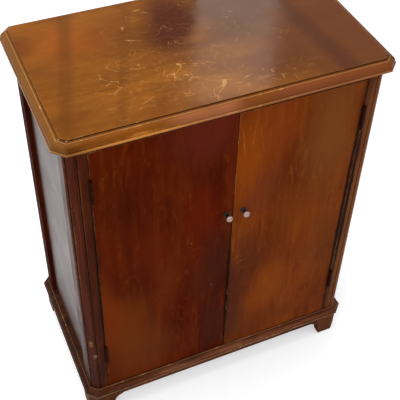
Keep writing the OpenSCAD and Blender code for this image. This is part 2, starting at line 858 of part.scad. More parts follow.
// Plan of a board across the inside, notched round the posts
module inner_plan(y0) {
    difference() {
        translate([-inner_x, y0])
            square([2 * inner_x, inner_back - y0]);
        for (sx = [-1, 1], sy = [-1, 1])
            translate([sx * (opening_x + 50), sy * (post_back + 50)])
                square(100, center = true);
    }
}
module record_shelf() {
    color("#8a5a34")
        translate([0, 0, store_top])
            linear_extrude(shelf_t)
                inner_plan(liner_y);
}
module record_dividers() {
    pitch = 2 * opening_x / (dividers + 1);
    color("#a37a4c")
        for (k = [1:dividers])
            translate([-opening_x + k * pitch - divider_t / 2, 0, 0])
                difference() {
                    block([0, liner_y + 12, floor_z], [divider_t, inner_back, store_top]);
                    translate([-1, liner_y + 12, (floor_z + store_top) / 2])
                        rotate([0, 90, 0])
                            cylinder(r = 70, h = divider_t + 2, $fn = 96);
                }
}

// Board with holes for the spindle, the throat, the cup and the bolts
module motor_board() {
    color("#8c4f26")
        difference() {
            translate([0, 0, board_low])
                linear_extrude(board_t)
                    inner_plan(liner_back);
            translate([spin_x, spin_y, board_low - 1])
                cylinder(r = spindle_r + 4, h = board_t + 2);
            translate([arm_x, arm_y, board_low - 1])
                cylinder(r = throat_r, h = board_t + 2);
            translate([cup_x, cup_y, board_low - 1])
                cylinder(r = cup_r, h = board_t + 2);
            for (p = post_spots)
                translate([p[0], p[1], board_low - 1])
                    cylinder(r = bolt_r + 0.1, h = board_t + 2);
        }
}
module motor_board_bearers() {
    color("#8a5a34")
        for (s = [-1, 1])
            block([s > 0 ? inner_x - 14 : -inner_x, -post_back + 2, board_low - 20],
                [s > 0 ? inner_x : -inner_x + 14, s > 0 ? barrel_y - 10 : post_back - 2, board_low]);
}

// ---------- motor ----------

module plate_outline() {
    polygon([[-105, -62], [30, -100], [82, -92], [82, 60], [60, 72], [-105, 76]]);
}
module plate(z, holes) {
    difference() {
        translate([0, 0, z])
            linear_extrude(plate_t)
                plate_outline();
        for (h = holes)
            translate([h[0], h[1], z - 1])
                cylinder(r = h[2], h = plate_t + 2);
    }
}
module motor_top_plate() {
    color("#6f7276")
        plate(top_plate_z - plate_t, [[spin_x, spin_y, shaft_r + run_fit],
            [middle_x, middle_y, arbor_r + run_fit]]);
}
module motor_bottom_plate() {
    color("#6f7276")
        plate(bottom_plate_z, [[middle_x, middle_y, arbor_r + run_fit],
            [barrel_x, barrel_y, arbor_r + run_fit]]);
}
module motor_pillars() {
    color("#8d9094")
        for (p = post_spots)
            translate([p[0], p[1], bottom_plate_z + plate_t])
                cylinder(r = pillar_r, h = top_plate_z - bottom_plate_z - 2 * plate_t);
}
module motor_bolts() {
    color("#b8b8b4")
        for (p = post_spots) {
            translate([p[0], p[1], top_plate_z])
                cylinder(r = bolt_r, h = board_top - top_plate_z + 1);
            translate([p[0], p[1], board_top])
                cylinder(r1 = 5.5, r2 = 4, h = 2.4);
        }
}

module intermediate_wheel() {
    top = top_plate_z - plate_t;
    color("#b59a5c") {
        translate([middle_x, middle_y, bottom_plate_z])
            cylinder(r = arbor_r, h = top_plate_z - bottom_plate_z);
        translate([middle_x, middle_y, top - 14])
            linear_extrude(5)
                gear_2d(middle_teeth, fine_module, 180 + 180 / middle_teeth);
        translate([middle_x, middle_y, main_z - 2])
            linear_extrude(main_t + 4)
                gear_2d(pinion_teeth, coarse_module, barrel_dir);
    }
}
module spring_barrel() {
    color("#b59a5c")
        difference() {
            union() {
                translate([barrel_x, barrel_y, main_z])
                    linear_extrude(main_t)
                        gear_2d(barrel_teeth, coarse_module,
                            barrel_dir + 180 + 180 / barrel_teeth);
                translate([barrel_x, barrel_y, main_z])
                    cylinder(r = barrel_r, h = main_t + drum_h);
            }
            translate([barrel_x, barrel_y, main_z - 1])
                cylinder(r = arbor_r + run_fit, h = main_t + drum_h + 2);
        }
}
module bevel(teeth, r, h, phase) {
    linear_extrude(h, scale = bevel_taper)
        gear_2d(teeth, 2 * r / teeth, phase, 0.7);
}
module barrel_arbor() {
    color("#a9abad") {
        translate([barrel_x, barrel_y, bottom_plate_z])
            cylinder(r = arbor_r, h = bevel_z - bottom_plate_z);
        translate([barrel_x, barrel_y, bevel_z - 2])
            cylinder(r = arbor_wheel_r - 3, h = 2);
        translate([barrel_x, barrel_y, bevel_z - eps])
            bevel(24, arbor_wheel_r, wind_bevel_r * (1 - bevel_taper), 180 / 24);
    }
}
module winding_shaft() {
    inner_end = barrel_x + arbor_wheel_r * bevel_taper;
    color("#a9abad")
        difference() {
            union() {
                translate([inner_end, barrel_y, wind_z])
                    rotate([0, 90, 0])
                        cylinder(r = wind_r, h = wind_end - inner_end);
                translate([barrel_x + arbor_wheel_r, barrel_y, wind_z])
                    rotate([0, -90, 0])
                        bevel(12, wind_bevel_r, arbor_wheel_r * (1 - bevel_taper), 0);
            }
            translate([wind_end - socket_l, barrel_y, wind_z])
                rotate([0, 90, 0])
                    cylinder(r = socket_r, h = socket_l + 1);
        }
}

// Governor: a cross shaft with three ball weights on leaf springs, carried by two lugs
gov_y = spin_y + 22;
gov_z = bottom_plate_z + plate_t + 22;
gov_r = 1.6;
module governor() {
    color("#a9abad")
        translate([0, gov_y, gov_z]) {
            translate([-95, 0, 0])
                rotate([0, 90, 0])
                    cylinder(r = gov_r, h = 100);
            translate([-52, 0, 0])
                rotate([0, 90, 0])
                    cylinder(r = 3.2, h = 14);
            translate([-86, 0, 0])
                rotate([0, 90, 0])
                    cylinder(r = 4, h = 4);
            translate([-66, 0, 0])
                rotate([0, 90, 0])
                    cylinder(r = 11, h = 2);
            for (k = [0:2])
                rotate([k * 120, 0, 0]) {
                    translate([-84, -2, 2])
                        cube([20, 4, 0.8]);
                    translate([-74, 0, 6])
                        sphere(r = 4.2, $fn = 24);
                }
        }
}

// Bracket under the top plate for the winding shaft, and two lugs on the bottom plate for the governor
module motor_bearings() {
    color("#6f7276") {
        difference() {
            block([60, barrel_y - 10, wind_z - 9], [70, barrel_y + 10, top_plate_z - plate_t]);
            translate([59, barrel_y, wind_z])
                rotate([0, 90, 0])
                    cylinder(r = wind_r + run_fit, h = 12);
        }
        for (x = [-95, 2])
            difference() {
                block([x, gov_y - 4, bottom_plate_z + plate_t], [x + 3, gov_y + 4, gov_z + 4]);
                translate([x - 1, gov_y, gov_z])
                    rotate([0, 90, 0])
                        cylinder(r = gov_r + run_fit, h = 5);
            }
    }
}
module winding_escutcheon() {
    color("#b59a5c")
        translate([panel_x, barrel_y, wind_z])
            rotate([0, 90, 0])
                difference() {
                    rotate_extrude()
                        polygon([[0, 0], [17, 0], [17, 0.8], [15, 1.6], [11, 2], [0, 2]]);
                    translate([0, 0, -1])
                        cylinder(r = wind_r + 1.5, h = 5);
                    for (a = [45:90:315])
                        rotate(a)
                            translate([screw_ring, 0, -1])
                                cylinder(r = screw_r + run_fit, h = 5);
                }
}
screw_r = 1.6;
screw_ring = 13;
module escutcheon_screws() {
    color("#9a8450")
        translate([panel_x, barrel_y, wind_z])
            rotate([0, 90, 0])
                for (a = [45:90:315])
                    rotate(a)
                        translate([screw_ring, 0, 0])
                            cylinder(r1 = screw_r, r2 = screw_r - 0.5, h = 2.3);
}

// ---------- turntable ----------

module turntable_platter() {
    r = platter_d / 2;
    color("#9fa2a5")
        translate([spin_x, spin_y, platter_z])
            rotate_extrude($fn = 96)
                polygon([[shaft_r, platter_h - 12], [14, platter_h - 12],
                    [18, platter_h - 4], [r - 5, platter_h - 3], [r - 3, 0], [r - 1, 0],
                    [r, 2], [r, platter_h - 1.5], [r - 1.5, platter_h],
                    [shaft_r, platter_h]]);
}
module turntable_mat() {
    color("#2f4a34")
        translate([spin_x, spin_y, mat_z])
            difference() {
                cylinder(r = platter_d / 2 - 3, h = mat_t, $fn = 96);
                translate([0, 0, -1])
                    cylinder(r = shaft_r, h = mat_t + 2);
            }
}
module spindle() {
    top = top_plate_z - plate_t;
    tip_h = 1.5;
    color("#c4c6c8")
        translate([spin_x, spin_y, 0]) {
            translate([0, 0, bottom_plate_z + plate_t + part_gap])
                cylinder(r = shaft_r, h = mat_z + mat_t - bottom_plate_z - plate_t - part_gap);
            translate([0, 0, mat_z + mat_t])
                cylinder(r = spindle_r, h = spindle_up - tip_h);
            translate([0, 0, spindle_top - tip_h])
                cylinder(r1 = spindle_r, r2 = spindle_r - tip_h, h = tip_h);
            translate([0, 0, top - 16])
                linear_extrude(9)
                    gear_2d(pinion_teeth, fine_module, 0);
            translate([0, 0, gov_z - 4])
                linear_extrude(8)
                    gear_2d(24, 1.4, 0);
        }
}

// ---------- tone arm and controls ----------

module tone_arm_base() {
    color("#b9bcc0")
        translate([arm_x, arm_y, board_top])
            rotate_extrude()
                polygon([[throat_r - 3, 0], [32, 0], [32, 2], [29, 4.5], [24, 7], [22.5, 14],
                    [22.5, 26], [throat_r - 3, 26]]);
}

// Tapered arm from the pivot's turned cap out to the crook
module tone_arm_tube() {
    base = 26 + part_gap;
    reach = arm_l - 30;
    color("#c3c6ca")
        translate([arm_x, arm_y, board_top])
            rotate([0, 0, arm_park - 90]) {
                difference() {
                    union() {
                        rotate_extrude()
                            polygon([[0, base], [22.5, base], [22.5, base + 4],
                                [19, base + 8], [arm_r + 3, arm_lift - 6],
                                [arm_r + 1.5, arm_lift + 4], [arm_r - 4, arm_lift + 10],
                                [0, arm_lift + 12]]);
                        translate([0, 0, arm_lift])
                            rotate([0, 90, 0])
                                cylinder(r1 = arm_r, r2 = arm_tip_r, h = reach);
                    }
                    translate([0, 0, base - 1])
                        cylinder(r = arm_r - 1, h = arm_lift - base);
                }
            }
}

// Crook that turns off the arm's end, round box with a ringed cover, needle holder and needle
module sound_box() {
    crook_r = arm_tip_r + 0.5;
    bend = 14;
    from = arm_l - 30 + part_gap;
    centre = from + 10 + bend;
    color("#c9ccd0")
        translate([arm_x, arm_y, arm_z])
            rotate([0, 0, arm_park - 90]) {
                translate([from, 0, 0])
                    rotate([0, 90, 0])
                        cylinder(r = crook_r, h = 10);
                translate([from + 10, -bend, 0])
                    rotate_extrude(angle = 90)
                        translate([bend, 0])
                            circle(crook_r);
                translate([centre, -bend, 0])
                    rotate([90, 0, 0])
                        cylinder(r = crook_r, h = 4);
                translate([centre, -bend - 3, 0])
                    rotate([90, 0, 0])
                        rotate_extrude()
                            polygon([[0, 0], [box_r - 3, 0], [box_r, 2], [box_r, 9],
                                [box_r - 2, 11], [box_r - 5, 11], [box_r - 6, 9.5],
                                [6, 9.5], [5, 11.5], [0, 11.5]]);
                translate([centre, -bend - 10, -box_r - 4])
                    cylinder(r = 2.4, h = 10);
                translate([centre, -bend - 10, -box_r - 11])
                    cylinder(r1 = 0.4, r2 = 0.9, h = 8, $fn = 16);
            }
}

cup_x = 205;
cup_y = 20;
cup_r = 23;
module needle_cup() {
    color("#b59a5c")
        translate([cup_x, cup_y, board_top])
            rotate_extrude()
                polygon([[0, -board_t], [10, -board_t], [18, -8], [cup_r - 0.5, 0], [27, 0],
                    [27, 1], [26, 1.8], [cup_r - 1, 1.8], [16.5, -6], [9, -board_t + 1.5],
                    [0, -board_t + 1.5]]);
}

speed_x = 196;
speed_y = 78;
module speed_plate() {
    color("#b59a5c")
        translate([speed_x, speed_y, board_top])
            difference() {
                cylinder(r = 19, h = 1.2);
                translate([0, 0, -1])
                    cylinder(r = 3, h = 4);
            }
}
module speed_lever() {
    color("#8f8250")
        translate([speed_x, speed_y, board_top]) {
            cylinder(r = 3 - run_fit, h = 6);
            translate([0, 0, 1.2 + part_gap])
                cylinder(r = 6, h = 4.5);
            translate([-1.8, -16, 2.2])
                cube([3.6, 16, 2]);
            translate([0, -14, 2.2])
                cylinder(r = 2.6, h = 6);
        }
}

// Brake lever beside the platter, its pad a running gap off the rim
brake_dir = -30;
brake_reach = 26;
brake_x = spin_x + (platter_d / 2 + brake_reach) * cos(brake_dir);
brake_y = spin_y + (platter_d / 2 + brake_reach) * sin(brake_dir);
module brake_lever() {
    color("#8f8250")
        translate([brake_x, brake_y, board_top + part_gap]) {
            cylinder(r = 5, h = 14);
            rotate([0, 0, brake_dir + 180]) {
                translate([0, -3, 11])
                    cube([brake_reach - 4.5, 6, 3]);
                translate([brake_reach - 5, -5, 9])
                    cube([3, 10, 7]);
            }
            rotate([0, 0, -80]) {
                translate([0, -3, 11])
                    cube([38, 6, 3]);
                translate([38, 0, 11])
                    cylinder(r = 4.5, h = 9);
            }
        }
}

front_left_post();
front_right_post();
rear_left_post();
rear_right_post();
left_side_panel();
right_side_panel();
back_panel();
bottom_board();
top_frame();
plinth_moulding();
base_frame();
bracket_feet();
motor_fascia();
horn_frame();
horn_louvres();
horn_top_board();
horn_floor_board();
horn_cheeks();
horn_throat_block();
horn_elbow();
record_shelf();
record_dividers();
motor_board();
motor_board_bearers();
motor_top_plate();
motor_bottom_plate();
motor_pillars();
motor_bolts();
motor_bearings();
tone_arm_base();
needle_cup();
speed_plate();
winding_escutcheon();
escutcheon_screws();
door_hinge_fixed_leaves();
lid_hinge_fixed_leaves();
hinge_pins();
stay_guide();
lid_panel();
lid_moulding();
lid_hinge_leaves();
lid_stay();
left_door_panel();
left_door_knob();
left_door_hinge_leaves();
right_door_panel();
right_door_knob();
right_door_hinge_leaves();
turntable_platter();
turntable_mat();
spindle();
tone_arm_tube();
sound_box();
brake_lever();
speed_lever();
intermediate_wheel();
spring_barrel();
barrel_arbor();
winding_shaft();
governor();
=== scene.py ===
import json
import math
import bpy
import bmesh
import numpy as np
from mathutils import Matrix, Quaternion, Vector


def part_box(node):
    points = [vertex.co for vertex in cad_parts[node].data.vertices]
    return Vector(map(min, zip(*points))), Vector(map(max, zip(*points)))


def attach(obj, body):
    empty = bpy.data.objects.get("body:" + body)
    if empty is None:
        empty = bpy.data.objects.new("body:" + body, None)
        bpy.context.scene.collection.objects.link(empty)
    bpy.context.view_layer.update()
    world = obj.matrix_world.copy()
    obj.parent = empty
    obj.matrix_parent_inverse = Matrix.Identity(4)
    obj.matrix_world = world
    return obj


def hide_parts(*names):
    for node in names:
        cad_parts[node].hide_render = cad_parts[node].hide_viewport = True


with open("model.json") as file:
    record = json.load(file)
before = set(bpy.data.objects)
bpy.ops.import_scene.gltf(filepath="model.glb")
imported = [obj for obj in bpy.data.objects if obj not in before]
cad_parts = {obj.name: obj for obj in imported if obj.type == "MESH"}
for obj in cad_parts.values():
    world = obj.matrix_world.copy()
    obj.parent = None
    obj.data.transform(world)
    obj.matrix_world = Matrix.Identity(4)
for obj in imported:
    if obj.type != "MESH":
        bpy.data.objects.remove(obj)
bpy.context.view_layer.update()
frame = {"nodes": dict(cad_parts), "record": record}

mm = 0.001
bodyOf = {node: body for body, nodes in frame["record"]["behaviour"]["bodies"].items() for node in nodes}
slotOf = {part["node"]: part["material_slot"] for part in frame["record"]["subparts"]}


def linear(level):
    # one channel written 0 to 255, as the linear value that sockets take
    return level / 255 / 12.92 if level < 11 else ((level / 255 + 0.055) / 1.055) ** 2.4


def tone(red, green, blue):
    return [linear(red), linear(green), linear(blue), 1]


def darker(colour, share):
    return tone(*[level * share for level in colour])


# the camera, at the photograph's angle
view = {
    "place": (-0.48512, -1.08405, 1.58659),
    "forward": (0.31356, 0.64718, -0.69486),
    "roll": 2.626,  # degrees
    "lens": 75.447,
    "sensor": 36,
    "nearest": 0.05,
    "shift": (-0.03, -0.06),
}


def makeCamera():
    data = bpy.data.cameras.new("view")
    data.lens = view["lens"]
    data.sensor_width = view["sensor"]
    data.shift_x, data.shift_y = view["shift"]
    data.clip_start = view["nearest"]
    camera = bpy.data.objects.new("view", data)
    camera.rotation_mode = "QUATERNION"
    turn = Vector(view["forward"]).to_track_quat("-Z", "Y")
    camera.rotation_quaternion = turn @ Quaternion((0, 0, 1), math.radians(view["roll"]))
    camera.location = view["place"]
    bpy.context.collection.objects.link(camera)
    bpy.context.scene.camera = camera


makeCamera()
bpy.context.scene.view_settings.view_transform = "Standard"
print("camera ready")

# light and floor
studio = {
    "sky": 0.62,
    "skyColour": (0.95, 0.97, 1, 1),
    "soft": [  # name, place, width and height, strength in watts, aim
        ("overhead", (-0.5, 0.3, 2.6), (1.8, 1.8), 34, (0, 0, 0.5)),
        ("front", (-1.6, -2.4, 1.9), (1.4, 1.4), 22, (0, 0, 0.45)),
        ("right", (2.2, -1.2, 1.6), (1.2, 1.2), 9, (0, 0, 0.4)),
        ("window", (0.71, 1.24, 1.72), (0.3, 0.66), 2.25, (0.08, 0.0, 0.756)),
    ],
}
floorForm = {"half": 12, "colour": (236, 236, 236), "rough": 0.9, "specular": 0.1, "glow": 0.42}


def whiteBehind(tree, plain, white):
    # the shader named white where the ray comes from the camera, a mirror or glass, else plain
    path = tree.nodes.new("ShaderNodeLightPath")
    first = tree.nodes.new("ShaderNodeMath")
    second = tree.nodes.new("ShaderNodeMath")
    first.operation = second.operation = "MAXIMUM"
    mix = tree.nodes.new("ShaderNodeMixShader")
    tree.links.new(path.outputs["Is Camera Ray"], first.inputs[0])
    tree.links.new(path.outputs["Is Glossy Ray"], first.inputs[1])
    tree.links.new(first.outputs[0], second.inputs[0])
    tree.links.new(path.outputs["Is Transmission Ray"], second.inputs[1])
    tree.links.new(second.outputs[0], mix.inputs[0])
    tree.links.new(plain, mix.inputs[1])
    tree.links.new(white, mix.inputs[2])
    return mix.outputs[0]


def makeSky():
    world = bpy.data.worlds.new("studio")
    bpy.context.scene.world = world
    world.use_nodes = True
    tree = world.node_tree
    tree.nodes.clear()
    grey = tree.nodes.new("ShaderNodeBackground")
    grey.inputs["Color"].default_value = studio["skyColour"]
    grey.inputs["Strength"].default_value = studio["sky"]
    white = tree.nodes.new("ShaderNodeBackground")
    white.inputs["Strength"].default_value = 1
    out = tree.nodes.new("ShaderNodeOutputWorld")
    tree.links.new(whiteBehind(tree, grey.outputs[0], white.outputs[0]), out.inputs[0])


def makeLamps():
    for name, spot, size, watts, aim in studio["soft"]:
        data = bpy.data.lights.new(name, "AREA")
        data.shape = "RECTANGLE"
        data.size, data.size_y = size
        data.energy = watts
        lamp = bpy.data.objects.new(name, data)
        lamp.location = spot
        lamp.rotation_euler = (Vector(aim) - Vector(spot)).to_track_quat("-Z", "Y").to_euler()
        lamp.visible_camera = False
        bpy.context.collection.objects.link(lamp)


def makeFloor():
    # a flat square under the cabinet, lifted to near white by a glow that only the camera sees
    mesh = bpy.data.meshes.new("floor")
    half = floorForm["half"]
    corners = [(-half, -half, 0), (half, -half, 0), (half, half, 0), (-half, half, 0)]
    mesh.from_pydata(corners, [], [(0, 1, 2, 3)])
    floor = bpy.data.objects.new("floor", mesh)
    bpy.context.collection.objects.link(floor)
    paint = bpy.data.materials.new("floorPaint")
    paint.use_nodes = True
    tree = paint.node_tree
    shader = tree.nodes["Principled BSDF"]
    shader.inputs["Base Color"].default_value = tone(*floorForm["colour"])
    shader.inputs["Roughness"].default_value = floorForm["rough"]
    shader.inputs["Specular IOR Level"].default_value = floorForm["specular"]
    glow = tree.nodes.new("ShaderNodeEmission")
    path = tree.nodes.new("ShaderNodeLightPath")
    lift = tree.nodes.new("ShaderNodeMath")
    lift.operation = "MULTIPLY"
    lift.inputs[1].default_value = floorForm["glow"]
    tree.links.new(path.outputs["Is Camera Ray"], lift.inputs[0])
    tree.links.new(lift.outputs[0], glow.inputs["Strength"])
    both = tree.nodes.new("ShaderNodeAddShader")
    tree.links.new(shader.outputs[0], both.inputs[0])
    tree.links.new(glow.outputs[0], both.inputs[1])
    tree.links.new(both.outputs[0], tree.nodes["Material Output"].inputs[0])
    mesh.materials.append(paint)


makeSky()
makeLamps()
makeFloor()
print("studio ready")


class Recipe:
    # a material's node tree, with short calls for the nodes that the finishes share
    def __init__(self, name):
        self.material = bpy.data.materials.new(name)
        self.material.use_nodes = True
        self.tree = self.material.node_tree
        self.shader = self.tree.nodes["Principled BSDF"]
        here = self.tree.nodes.new("ShaderNodeTexCoord")
        self.coord = here.outputs["Object"]
        self.normal = here.outputs["Normal"]

    def node(self, kind, **inputs):
        made = self.tree.nodes.new("ShaderNode" + kind)
        for key, value in inputs.items():
            self.put(made.inputs[key.replace("_", " ")], value)
        return made

    def put(self, socket, value):
        if isinstance(value, bpy.types.NodeSocket):
            self.tree.links.new(value, socket)
        else:
            socket.default_value = value

    def stretched(self, scale, turn=(0, 0, 0)):
        return self.node("Mapping", Vector=self.coord, Scale=scale, Rotation=turn).outputs[0]

    def noise(self, vector, scale, detail=3, rough=0.5, bend=0):
        made = self.node("TexNoise", Vector=vector, Scale=scale, Detail=detail, Roughness=rough,
                         Distortion=bend)
        return made.outputs["Fac"]

    def ramp(self, value, low, high, start=0, end=1):
        # start where value is low, end where it is high, and a smooth step between
        made = self.node("MapRange", Value=value)
        for socket, number in zip(list(made.inputs)[1:5], (low, high, start, end)):
            socket.default_value = number
        made.interpolation_type = "SMOOTHSTEP"
        return made.outputs[0]

    def math(self, how, first, second=0.0):
        made = self.tree.nodes.new("ShaderNodeMath")
        made.operation = how
        self.put(made.inputs[0], first)
        self.put(made.inputs[1], second)
        return made.outputs[0]

    def times(self, first, second):
        return self.math("MULTIPLY", first, second)

    def blend(self, amount, first, second):
        made = self.tree.nodes.new("ShaderNodeMix")
        made.data_type = "RGBA"
        self.put(made.inputs[0], amount)
        self.put(made.inputs[6], first)
        self.put(made.inputs[7], second)
        return made.outputs[2]

    def wash(self, base, amount, strength, colour):
        # colour laid over base by amount times strength
        return self.blend(self.times(amount, strength), base, colour)

    def wobbly(self, scale, amount):
        # Object coordinates pushed about by cloudy noise, up to amount each way
        cloud = self.node("TexNoise", Vector=self.coord, Scale=scale, Detail=3).outputs["Color"]
        offset = self.vector("SUBTRACT", cloud, (0.5, 0.5, 0.5))
        return self.vector("ADD", self.coord, self.vector("MULTIPLY", offset, (2 * amount,) * 3))

    def vector(self, how, first, second=(0, 0, 0), out=0):
        made = self.tree.nodes.new("ShaderNodeVectorMath")
        made.operation = how
        self.put(made.inputs[0], first)
        self.put(made.inputs[1], second)
        return made.outputs[out]

    def patch(self, where, centre, reach, turn=(0, 0, 0), edge=0.5):
        # 1 inside an ellipsoid about centre, falling to 0 over the part edge of its reach
        made = self.tree.nodes.new("ShaderNodeMapping")
        made.vector_type = "TEXTURE"
        self.put(made.inputs["Vector"], where)
        made.inputs["Location"].default_value = centre
        made.inputs["Rotation"].default_value = turn
        made.inputs["Scale"].default_value = reach
        return self.ramp(self.vector("LENGTH", made.outputs[0], out=1), 1, 1 - edge)

    def band(self, where, start, end, half, soft):
        # 1 within half of the line through start and end in plan, falling to 0 over soft
        lengthwise = np.array(end) - np.array(start)
        across = np.array([-lengthwise[1], lengthwise[0]]) / np.linalg.norm(lengthwise)
        offset = float(across @ np.array(start))
        reach = self.vector("DOT_PRODUCT", where, (across[0], across[1], 0), 1)
        gap = self.math("ABSOLUTE", self.math("SUBTRACT", reach, offset))
        return self.ramp(gap, half + soft, half)

    def levelLine(self, scale, level, thin):
        # 1 along the line where a noise passes level, 0 a little way from it
        passing = self.math("SUBTRACT", self.noise(self.coord, scale, 1, 0.4, 0.6), level)
        return self.ramp(self.math("ABSOLUTE", passing), 2 * thin, thin)

    def facing(self, direction):
        return self.vector("DOT_PRODUCT", self.normal, direction, 1)

    # the attribute wear: above 0 on arrises for chipped varnish, below 0 in hollows for grime and painted
    # shade
    def worn(self):
        made = self.tree.nodes.new("ShaderNodeAttribute")
        made.attribute_name = "wear"
        return made.outputs["Fac"]

    def bump(self, height, strength, depth):
        made = self.node("Bump", Height=height, Strength=strength, Distance=depth)
        self.put(self.shader.inputs["Normal"], made.outputs[0])

    def gloss(self, rough, specular=0.5, metallic=0.0, coat=0.0, tint=(1, 1, 1), ior=1.5):
        self.put(self.shader.inputs["Roughness"], rough)
        self.shader.inputs["IOR"].default_value = ior
        self.shader.inputs["Specular Tint"].default_value = (*tint, 1)
        self.shader.inputs["Specular IOR Level"].default_value = specular
        self.shader.inputs["Metallic"].default_value = metallic
        self.shader.inputs["Coat Weight"].default_value = coat


# how varnished wood is made up; a share is multiplied by the look's own strength of that name
grainForm = {
    "drawn": 0.055,  # a pattern's scale along the grain, with 1 across it
    "patterns": {  # scale, power of drawn, detail, roughness and bend of each noise
        "cloud": (None, 0.42, 4, 0.55, 1.4),  # its scale is the look's figure
        "broad": (17, 0.75, 4, 0.62, 1.1),
        "streak": (95, 1, 4, 0.6, 0.6),
        "pore": (900, 1, 2, 0.5, 0),
        "wisp": (85, 0.5, 4, 0.62, 1.6),
        "blotch": (48, 0.42, 5, 0.68, 0.6),
    },
    "cloudRamp": (0.3, 0.66),  # where the cloud turns from dark to middle
    "layers": [  # pattern, where it is 0 and 1, strength's name, share, colour
        ("broad", 0.46, 0.74, "contrast", 0.5, "light"),
        ("streak", 0.5, 0.72, "contrast", 0.4, "light"),
        ("streak", 0.48, 0.3, "contrast", 0.5, "dark"),
        ("pore", 0.56, 0.74, "pores", 1, "dark"),
        ("wisp", 0.52, 0.72, "wisps", 1, "light"),
        ("wisp", 0.46, 0.28, "wisps", 1, "dark"),
        ("blotch", 0.5, 0.3, "mottle", 1, "dark"),
    ],
    "relief": (0.16, 0.0003),  # strength and depth of the bump
    "coatRough": 0.3,
}
wearForm = {
    "patchWobble": (7, 0.035), "bandWobble": (5, 0.008), "markWobble": (55, 0.0022),  # noise scale, metres
    "markDepth": 0.05,  # how far a mark reaches into the wood
    "solid": 0.8,  # marks stronger than this aren't broken up
    "threads": [(15, 0.52, 0.0035), (27, 0.46, 0.006)],  # noise scale, level and thickness of scratches
    "haze": 0.4,  # strength of the smears, against that of the scratches
    # the hollows are darkened: grime and painted shade
    "grime": 0.85,
    "hollowGrimeAndShadeTone": 0.32,  # of the look's dark colour, for the grime and painted shade in the hollows
    # of the look's dark colour, for the painted shade on upright sides
    "sideShade": 0.75,
    "matt": 0.3,  # roughness added where the varnish is rubbed off
}
pale = (196, 150, 98)
scratch = (204, 150, 82)
commonLook = {
    "rough": 0.36, "specular": 0.14, "ior": 1.5, "tint": (1, 0.58, 0.25), "coat": 0.0,
    "figure": 6, "contrast": 1.0, "pores": 0.3, "mottle": 0.3, "wisps": 0.15,
    "wear": pale, "worn": 0.75,  # colour and amount of the chips on the arrises
    "steadyRubAndSheen": 0.15,  # how much of worn shows between the chips
    "patches": [],  # how much of worn shows between the chips, as an even rub; set high, it is also a painted highlight along the arrises
    "bands": [],  # start, end, half width, soft width, strength, colour
    "scuffs": [],  # centre, reach, turn, strength
    "marks": [],  # centre, length, width, turn, strength, colour
    "faces": None,  # the direction that scuffs and marks are kept to
    "darkSides": False,
}


def drawnOut(way, power):
    # scales that draw a pattern out along the grain, the more the higher the power
    return tuple(grainForm["drawn"] ** power if axis == way else 1 for axis in "xyz")


def grainColour(recipe, look):
    # cloudy figure, then streaks, pores, wisps and blotches; also the two noises that make the relief
    noise = {}
    for name, (scale, power, detail, rough, bend) in grainForm["patterns"].items():
        where = recipe.stretched(drawnOut(look["grain"], power))
        noise[name] = recipe.noise(where, scale or look["figure"], detail, rough, bend)
    cloud = recipe.ramp(noise["cloud"], *grainForm["cloudRamp"])
    base = recipe.blend(cloud, tone(*look["dark"]), tone(*look["middle"]))
    for name, low, high, strength, share, colour in grainForm["layers"]:
        amount = recipe.ramp(noise[name], low, high)
        base = recipe.wash(base, amount, share * look[strength], tone(*look[colour]))
    return base, noise["streak"], noise["pore"]


def stainsHighlightsAndShade(recipe, look, base):
    # soft-edged patches and straight bands of another colour: stains, and on some looks painted highlights
    # and painted shade
    area = recipe.wobbly(*wearForm["patchWobble"])
    for centre, reach, turn, edge, strength, colour in look["patches"]:
        base = recipe.wash(base, recipe.patch(area, centre, reach, turn, edge), strength, tone(*colour))
    for start, end, half, soft, strength, colour in look["bands"]:
        line = recipe.band(recipe.wobbly(*wearForm["bandWobble"]), start, end, half, soft)
        base = recipe.wash(base, line, strength, tone(*colour))
    return base


def scuffed(recipe, look, base, outside):
    # thin curved scratches, the level lines of two noises broken by a third, among soft rubbed smears
    area = recipe.wobbly(*wearForm["patchWobble"])
    threads = [recipe.levelLine(*thread) for thread in wearForm["threads"]]
    kept = recipe.math("MAXIMUM", threads[0], threads[1])
    kept = recipe.times(kept, recipe.ramp(recipe.noise(recipe.coord, 38, 2, 0.6), 0.56, 0.63))
    kept = recipe.times(kept, outside)
    smear = recipe.noise(recipe.stretched((1, 1.8, 1), (0, 0, 0.5)), 55, 4, 0.7, 1.2)
    haze = recipe.times(outside, recipe.ramp(smear, 0.52, 0.72))
    for centre, reach, turn, strength in look["scuffs"]:
        zone = recipe.patch(area, centre, reach, (0, 0, turn), 0.9)
        base = recipe.wash(base, recipe.times(zone, kept), strength, tone(*scratch))
        base = recipe.wash(base, recipe.times(zone, haze), strength * wearForm["haze"], tone(*scratch))
    return base


def marked(recipe, look, base, outside):
    # single marks: short lines and dots with ragged edges, the faint ones broken up
    area = recipe.wobbly(*wearForm["markWobble"])
    broken = recipe.times(outside, recipe.ramp(recipe.noise(recipe.coord, 240, 3, 0.6), 0.4, 0.58, 0.25, 1))
    depth = wearForm["markDepth"]
    for centre, length, width, turn, strength, colour in look["marks"]:
        lying = turn[2] or look["grain"] == "x"
        reach = (length / 2, width / 2, depth) if lying else (length / 2, depth, width / 2)
        line = recipe.patch(area, centre, reach, turn, 0.7)
        shown = recipe.times(line, 1 if strength > wearForm["solid"] else broken)
        base = recipe.wash(base, shown, strength, tone(*colour))
    return base


